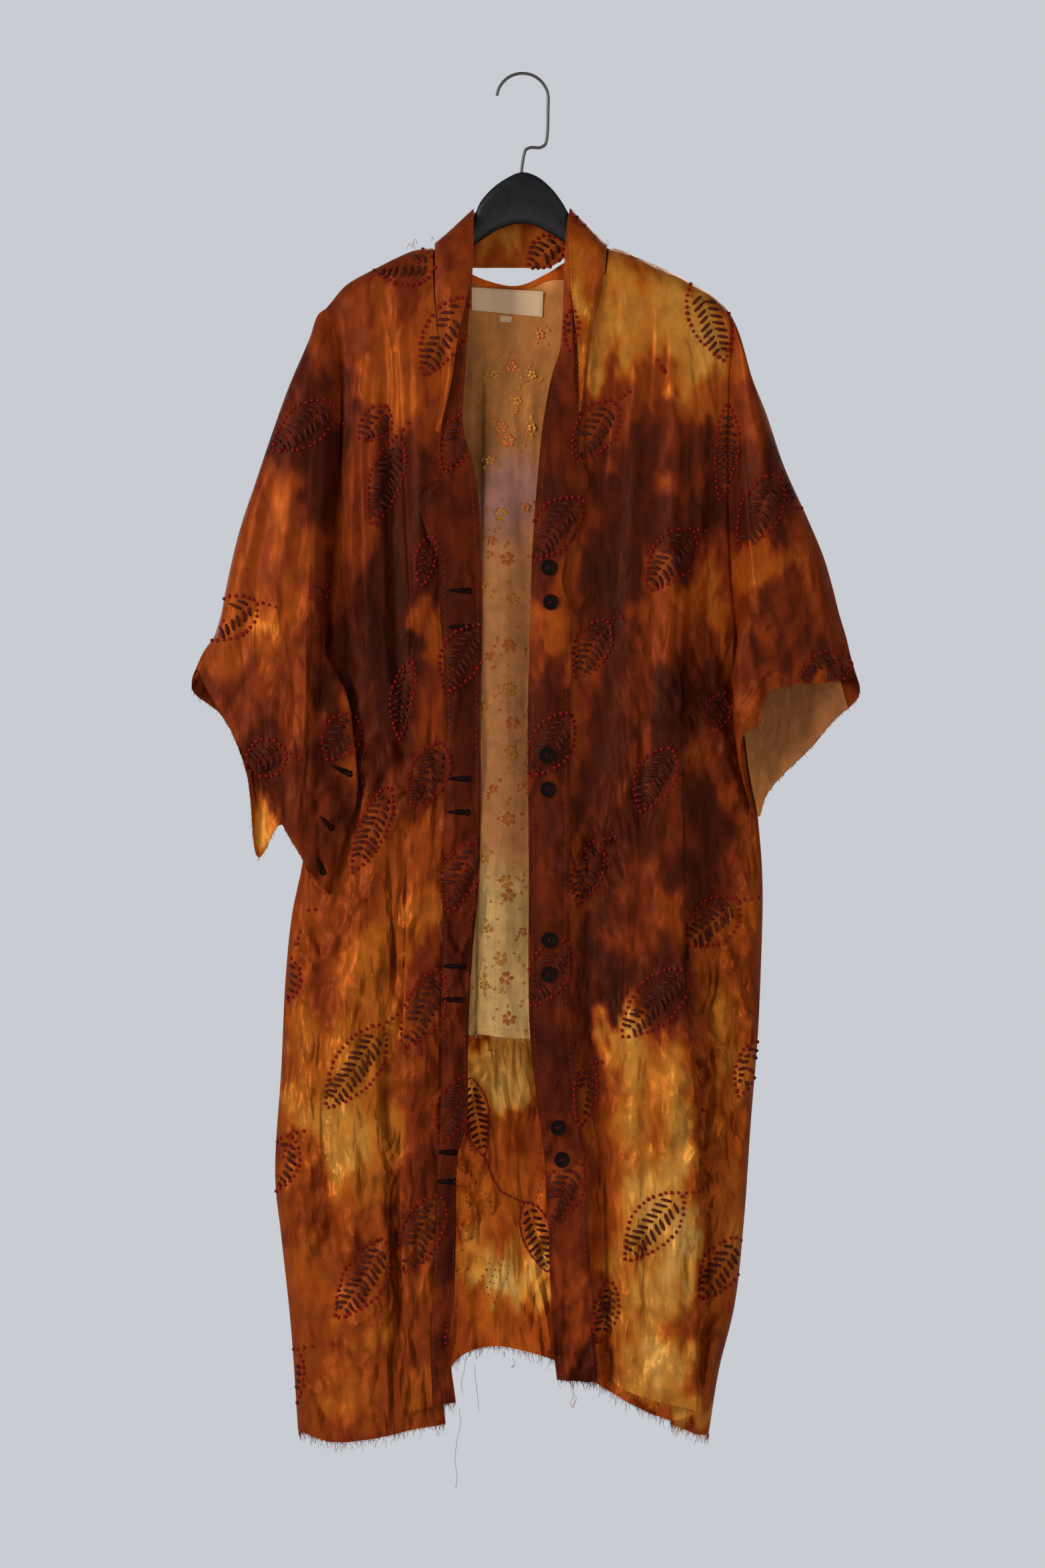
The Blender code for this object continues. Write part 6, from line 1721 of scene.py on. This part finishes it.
def sewn(name, rows, columns, thread_material, slot, step=4.6):
    """Sewing along some rows and columns of a sheet's grid, on the side that faces forward."""
    grid = grids[name]
    out = normals(grid, False)
    out = out * np.where(out[..., 2:] < 0, -1, 1)
    threads = Threads()
    for k in rows:
        sewing_line(threads, grid[:, k], out[:, k], step)
    for k in columns:
        sewing_line(threads, grid[k], out[k], step)
    threads.build(name + "_sewing", thread_material, slot)


for name in ("right_band", "left_band"):
    sewn(name, (), (2, -3), sewing_thread, "band", 6.0)
for name in ("right_collar", "left_collar"):
    sewn(name, (), (1, -2), sewing_thread, "collar")
sewn("back_collar", (1, -2), (), sewing_thread, "collar")
sewn("back_lining", (-3,), (len(grids["back_lining"]) // 2 - 2,), pale_thread, "lining", 5.4)
sewn("left_sleeve_lining", (1,), (), pale_thread, "lining")
sewn("neck_label", (1, -2), (1, -2), pale_thread, "label", 3.2)

# Buttonholes and buttons


def buttonhole(threads, names, from_x, from_drop, to_x, to_drop, facing=1):
    """A worked keyhole: short stitches across the slit, wider towards a round eye at its far end."""
    length = math.hypot(to_x - from_x, to_drop - from_drop)
    ax, ad = (to_x - from_x) / length, (to_drop - from_drop) / length
    eye = 3.4

    def at(along, across):
        return from_x + ax * along - ad * across, from_drop + ad * along + ax * across

    count = 18
    for k in range(count):
        along = (length - 2 * eye) * (k + 0.5) / count
        half = 1.2 + 1.9 * k / count
        stitch(threads, names, at(along, half), at(along, -half), 0.62, facing, 0.6, 3, 4)
    centre = at(length - eye, 0)
    for turn in np.linspace(0, 2 * math.pi, 14, endpoint=False):
        start, end = around(*centre, turn, 1.2), around(*centre, turn, eye)
        stitch(threads, names, start, end, 0.7, facing, 0.6, 2, 4)
    stitch(threads, names, at(-3, 0), at(4, 0), 0.5, facing)


holes = Threads()
for x, drop in BUTTONHOLES:
    buttonhole(holes, ["right_band"], x - 12, drop, x + 9.5, drop + 0.5)
for row in SLEEVE_LOOPS:
    buttonhole(holes, FRONT_CLOTHS, *row)
holes.build("buttonholes", dark_thread, "band")

button_material = plain("button_horn", (19, 8, 7), 0.55, grain=900, depth=0.0001, spread=0.25, shine=0.05)
BUTTON_PROFILE = [  # radius, height above the back
    (0.0, 0.0), (6.6, 0.0), (7.25, 0.35), (7.5, 0.95), (7.45, 1.6), (7.1, 2.15), (6.5, 2.4),
    (5.9, 2.3), (5.35, 1.75), (4.8, 1.5), (4.4, 1.62), (3.9, 1.66), (3.3, 1.45), (0.0, 1.35),
]


def rest_of(name, x, drop, facing):
    """How far forward the back of a round button comes to rest on a cloth."""
    fronts = []
    for turn in np.linspace(0, 2 * math.pi, 16, endpoint=False):
        for radius in (0, BUTTON / 2, BUTTON * 0.95):
            hit = Cloth.made[name].find(*around(x, drop, turn, radius), facing)
            if hit is not None:
                fronts.append(-hit[0].y / MM * facing)
    return facing * (max(fronts) + THIN / 2 + 0.15)


def button(node, name, x, drop, facing=1):
    """A turned button with a rim, resting on a cloth, and the two crossed threads that hold it."""
    front = rest_of(name, x, drop, facing)
    sides = BUTTON_SIDES
    points = [(x, drop, front)]
    for radius, height in BUTTON_PROFILE[1:-1]:
        for turn in 2 * math.pi * np.arange(sides) / sides:
            points.append((*around(x, drop, turn, radius), front + facing * height))
    points.append((x, drop, front + facing * BUTTON_PROFILE[-1][1]))
    faces = []
    rings = len(BUTTON_PROFILE) - 2
    for side in range(sides):
        following = (side + 1) % sides
        faces.append((0, 1 + following, 1 + side))
        for ring in range(rings - 1):
            a, b = 1 + ring * sides, 1 + (ring + 1) * sides
            faces.append((a + side, a + following, b + following, b + side))
        last = 1 + (rings - 1) * sides
        faces.append((last + side, last + following, len(points) - 1))
    mesh_object(node + "_turned", button_material, world(points), faces, [node], sharp=80)
    top = front + facing * BUTTON_PROFILE[-1][1]
    for ox, od in ((-0.9, -0.9), (0.9, 0.9), (0.9, -0.9), (-0.9, 0.9)):
        line = []
        for share in (1.0, 0.6, 0.2):
            rise = 0.5 + 0.55 * math.sin(math.pi * (share + 1) / 2)
            line.append((x + ox * share, drop + od * share, top + facing * rise))
        tube(button_threads, world(line), 0.42, 5)


button_threads = Threads()
for number, (x, drop) in enumerate(BUTTONS, 1):
    button(f"button_{number}", "left_band", x, drop)
button("cuff_button", "right_sleeve", *CUFF_BUTTON, facing=-1)
button_threads.build("button_threads", knot_thread, "button")

# Frayed edges


def fray(name, edge, colours, spacing, lengths):
    """Loose threads along an edge of x, drop, front. lengths are the shortest and the longest."""
    threads = Threads()
    run = run_of(edge)
    for k in range(int(run[-1] / spacing)):
        wanted = chance.uniform(0, run[-1])
        start, colour = follow(edge, run, wanted), follow(colours, run, wanted)
        length = lengths[0] + (lengths[1] - lengths[0]) * chance.random() ** 4
        lean, curl = chance.normal(0, 0.28), chance.uniform(-1, 1) * length * 0.16
        phase = chance.uniform(0, 6.28)
        line = []
        for share in np.linspace(0, 1, 5):
            sideways = lean * length * share + curl * (math.sin(phase + 3.2 * share) - math.sin(phase))
            downward = length * share - 1.2 * (share == 0)
            forward = 0.35 * curl * (math.cos(phase + 2.6 * share) - math.cos(phase))
            line.append(start + [sideways, downward, forward])
        tube(threads, world(np.array(line)), 0.17, 3, colour * chance.uniform(0.7, 1.5))
    return threads.build(name + "_fray", silk_red, "silk")


for name, spacing, lengths in (
    ("right_front", 0.5, (1.5, 11)), ("left_front", 0.5, (1.5, 11)), ("back", 0.5, (1.5, 11)),
    ("right_band", 0.5, (1.2, 7)), ("left_band", 0.5, (1.2, 9)),
    ("right_sleeve", 1.0, (0.8, 4)), ("left_sleeve", 1.0, (0.8, 4)),
):
    edge = grids[name][:, -1]
    if name.endswith("sleeve"):
        edge = np.concatenate([edge, edge[:1]])
    fray(name, edge, dye_and_painted_light(edge, *DYED[name]), spacing, lengths)
edge = grids["back_lining"][:, -1]
edge_colours = lining_colours(edge[:, None], LINING_STAINS_AND_PAINTED_SHADE, 501)[:, 0]
fray("back_lining", edge, edge_colours, 0.8, (0.8, 5))

loose = Threads()
for row in LOOSE_THREADS:
    tube(loose, world(smooth(row, 6)), 0.2, 4)
loose.build("loose_threads", fray_thread, "silk")

# Hanger

hanger_plastic = plain("hanger_plastic", (11, 12, 14), 0.42, grain=700, depth=0.0001, spread=0.1, shine=0.3)
hook_steel = plain("hook_steel", (92, 89, 87), 0.4, metallic=1.0, grain=30, depth=0.000001, spread=0.06)


def hanger_top():
    """Top line of the hanger: the visible arch, then the arms just under the shoulders."""
    arch = [
        (-46, 134), (-41, 123), (-31, 111), (-18, 101), (-1, 93.5), (13, 97), (27, 108), (38, 122),
        (45, 134),
    ]
    under = CAD_CLOTH / 2 + HANGER_GAP
    right, left = [[(x, drop + under) for x, drop in line] for line in shoulder_line()]
    neck_right = [(-60, 151), (-74, 164)]
    neck_left = [(60, 152), (73, 167)]
    line = np.array([*right, *neck_right[::-1], *arch, *neck_left, *left], dtype=float)
    kept = [tuple(place) for place in line if abs(place[0]) < HANGER_REACH]
    ends = [(x, np.interp(x, line[:, 0], line[:, 1])) for x in (-HANGER_REACH, HANGER_REACH)]
    return [ends[0], *kept, ends[1]]


def hanger_body():
    """A contoured bar: each station is an oval from the top line down, deeper at the arms."""
    lower_arch = [
        (-86, 200), (-46, 164), (-26, 150), (-10, 144), (4, 143), (16, 147), (29, 154), (45, 164),
        (86, 200),
    ]
    top = smooth(hanger_top(), 5)
    sides = HANGER_SIDES
    points = []
    for x, drop in top:
        reach = abs(x)
        arm = min(max((reach - 46) / 40, 0), 1)
        arm_height = 24 - 8 * min(max((reach - 110) / 60, 0), 1)
        arch_drop = np.interp(x, [row[0] for row in lower_arch], [row[1] for row in lower_arch])
        bottom = (1 - arm) * arch_drop + arm * (drop + arm_height)
        half_depth = np.interp(reach, [row[0] for row in HANGER_DEPTH], [row[1] for row in HANGER_DEPTH])
        middle, half_height = (drop + bottom) / 2, (bottom - drop) / 2
        for side in range(sides):
            turn = 2 * math.pi * side / sides - math.pi / 2
            high, deep = math.sin(turn), math.cos(turn)
            deep = math.copysign(abs(deep) ** 0.7, deep)
            high = math.copysign(abs(high) ** 0.92, high)
            points.append((x, middle + half_height * high, half_depth * deep))
    faces = []
    for i in range(len(top) - 1):
        for side in range(sides):
            following = (side + 1) % sides
            a, b = i * sides, (i + 1) * sides
            faces.append((a + side, a + following, b + following, b + side))
    faces.append(tuple(range(sides)))
    faces.append(tuple(range((len(top) - 1) * sides, len(top) * sides)))
    return mesh_object("hanger_moulding", hanger_plastic, world(points), faces, ["hanger_body"])


def hanger_hook():
    """A bent wire: the arc that hangs on something, a straight drop, a jog and the end above the hanger."""
    centre_drop = HOOK_RADIUS - WIRE
    arc = [around(0, centre_drop, math.radians(-angle), HOOK_RADIUS) for angle in range(172, 4, -16)]
    stem = [
        (24.6, 34), (23.6, 60), (21.8, 67), (17, 70), (8, 70), (3.4, 72), (1.4, 77), (0.0, 85),
        (-1, 93.1), (-1, 97),
    ]
    threads = Threads()
    tube(threads, world(smooth([(x, drop, 0) for x, drop in arc + stem], 8)), WIRE, 16)
    made = threads.build("hanger_wire", hook_steel, "wire")
    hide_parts("hanger_hook")


hanger_body()
hanger_hook()

# Floor, light and camera


def area_light(name, place, aim, size, power, colour):
    """A soft rectangular light of a size in metres and a power in watts, turned towards aim."""
    light = bpy.data.lights.new(name, "AREA")
    light.shape = "RECTANGLE"
    light.size, light.size_y = size
    light.energy = power
    light.color = colour
    made = bpy.data.objects.new(name, light)
    made.location = place
    made.rotation_euler = (Vector(aim) - Vector(place)).to_track_quat("-Z", "Y").to_euler()
    bpy.context.scene.collection.objects.link(made)


FLOOR_HEIGHT = -1.75
floor_mesh = bpy.data.meshes.new("floor")
floor_corners = [(x, y, FLOOR_HEIGHT) for x, y in ((-2, -2), (2, -2), (2, 2), (-2, 2))]
floor_mesh.from_pydata(floor_corners, [], [(0, 1, 2, 3)])
floor_mesh.materials.append(plain("floor_paint", (205, 206, 212), 0.7, grain=40, spread=0.03))
floor = bpy.data.objects.new("floor", floor_mesh)
bpy.context.scene.collection.objects.link(floor)

area_light("key", (-2.7, -2.0, 0.35), (0, 0, -0.7), (0.7, 2.0), 102, (1.0, 0.985, 0.955))
area_light("fill", (2.4, -2.8, 0.3), (0, 0, -0.7), (1.6, 2.2), 30, (0.95, 0.97, 1.0))
area_light("low", (0.2, -3.4, -1.5), (0, 0, -0.8), (2.4, 0.9), 18, (1.0, 0.98, 0.96))
area_light("behind", (0.5, 2.6, 0.9), (0, 0, -0.7), (1.6, 0.9), 30, (0.97, 0.98, 1.0))
area_light("behind_left", (-1.1, 3.1, 0.0), (0, 0, -0.7), (1.6, 2.0), 12, (0.97, 0.98, 1.0))

sky = bpy.data.worlds.new("studio")
sky.use_nodes = True
seen = sky.node_tree.nodes["Background"]
seen.inputs["Color"].default_value = (*linear(201, 204, 210), 1.0)
lit = sky.node_tree.nodes.new("ShaderNodeBackground")
lit.inputs["Color"].default_value = (*linear(226, 226, 232), 1.0)
lit.inputs["Strength"].default_value = 0.33
path = sky.node_tree.nodes.new("ShaderNodeLightPath")
either = sky.node_tree.nodes.new("ShaderNodeMixShader")
sky.node_tree.links.new(path.outputs["Is Camera Ray"], either.inputs[0])
sky.node_tree.links.new(lit.outputs[0], either.inputs[1])
sky.node_tree.links.new(seen.outputs[0], either.inputs[2])
sky.node_tree.links.new(either.outputs[0], sky.node_tree.nodes["World Output"].inputs["Surface"])
bpy.context.scene.world = sky
bpy.context.scene.view_settings.view_transform = "Standard"

FRAME_HEIGHT = 1.506
CAMERA_DISTANCE = 7.0
camera = bpy.data.cameras.new("camera")
camera.sensor_fit = "VERTICAL"
camera.sensor_height = 36
camera.lens = 36 * CAMERA_DISTANCE / FRAME_HEIGHT
camera.clip_end = 50
camera_object = bpy.data.objects.new("camera", camera)
camera_object.location = (0.0, -CAMERA_DISTANCE - 0.02, -0.683)
camera_object.rotation_euler = (math.radians(90), 0, 0)
bpy.context.scene.collection.objects.link(camera_object)
bpy.context.scene.camera = camera_object
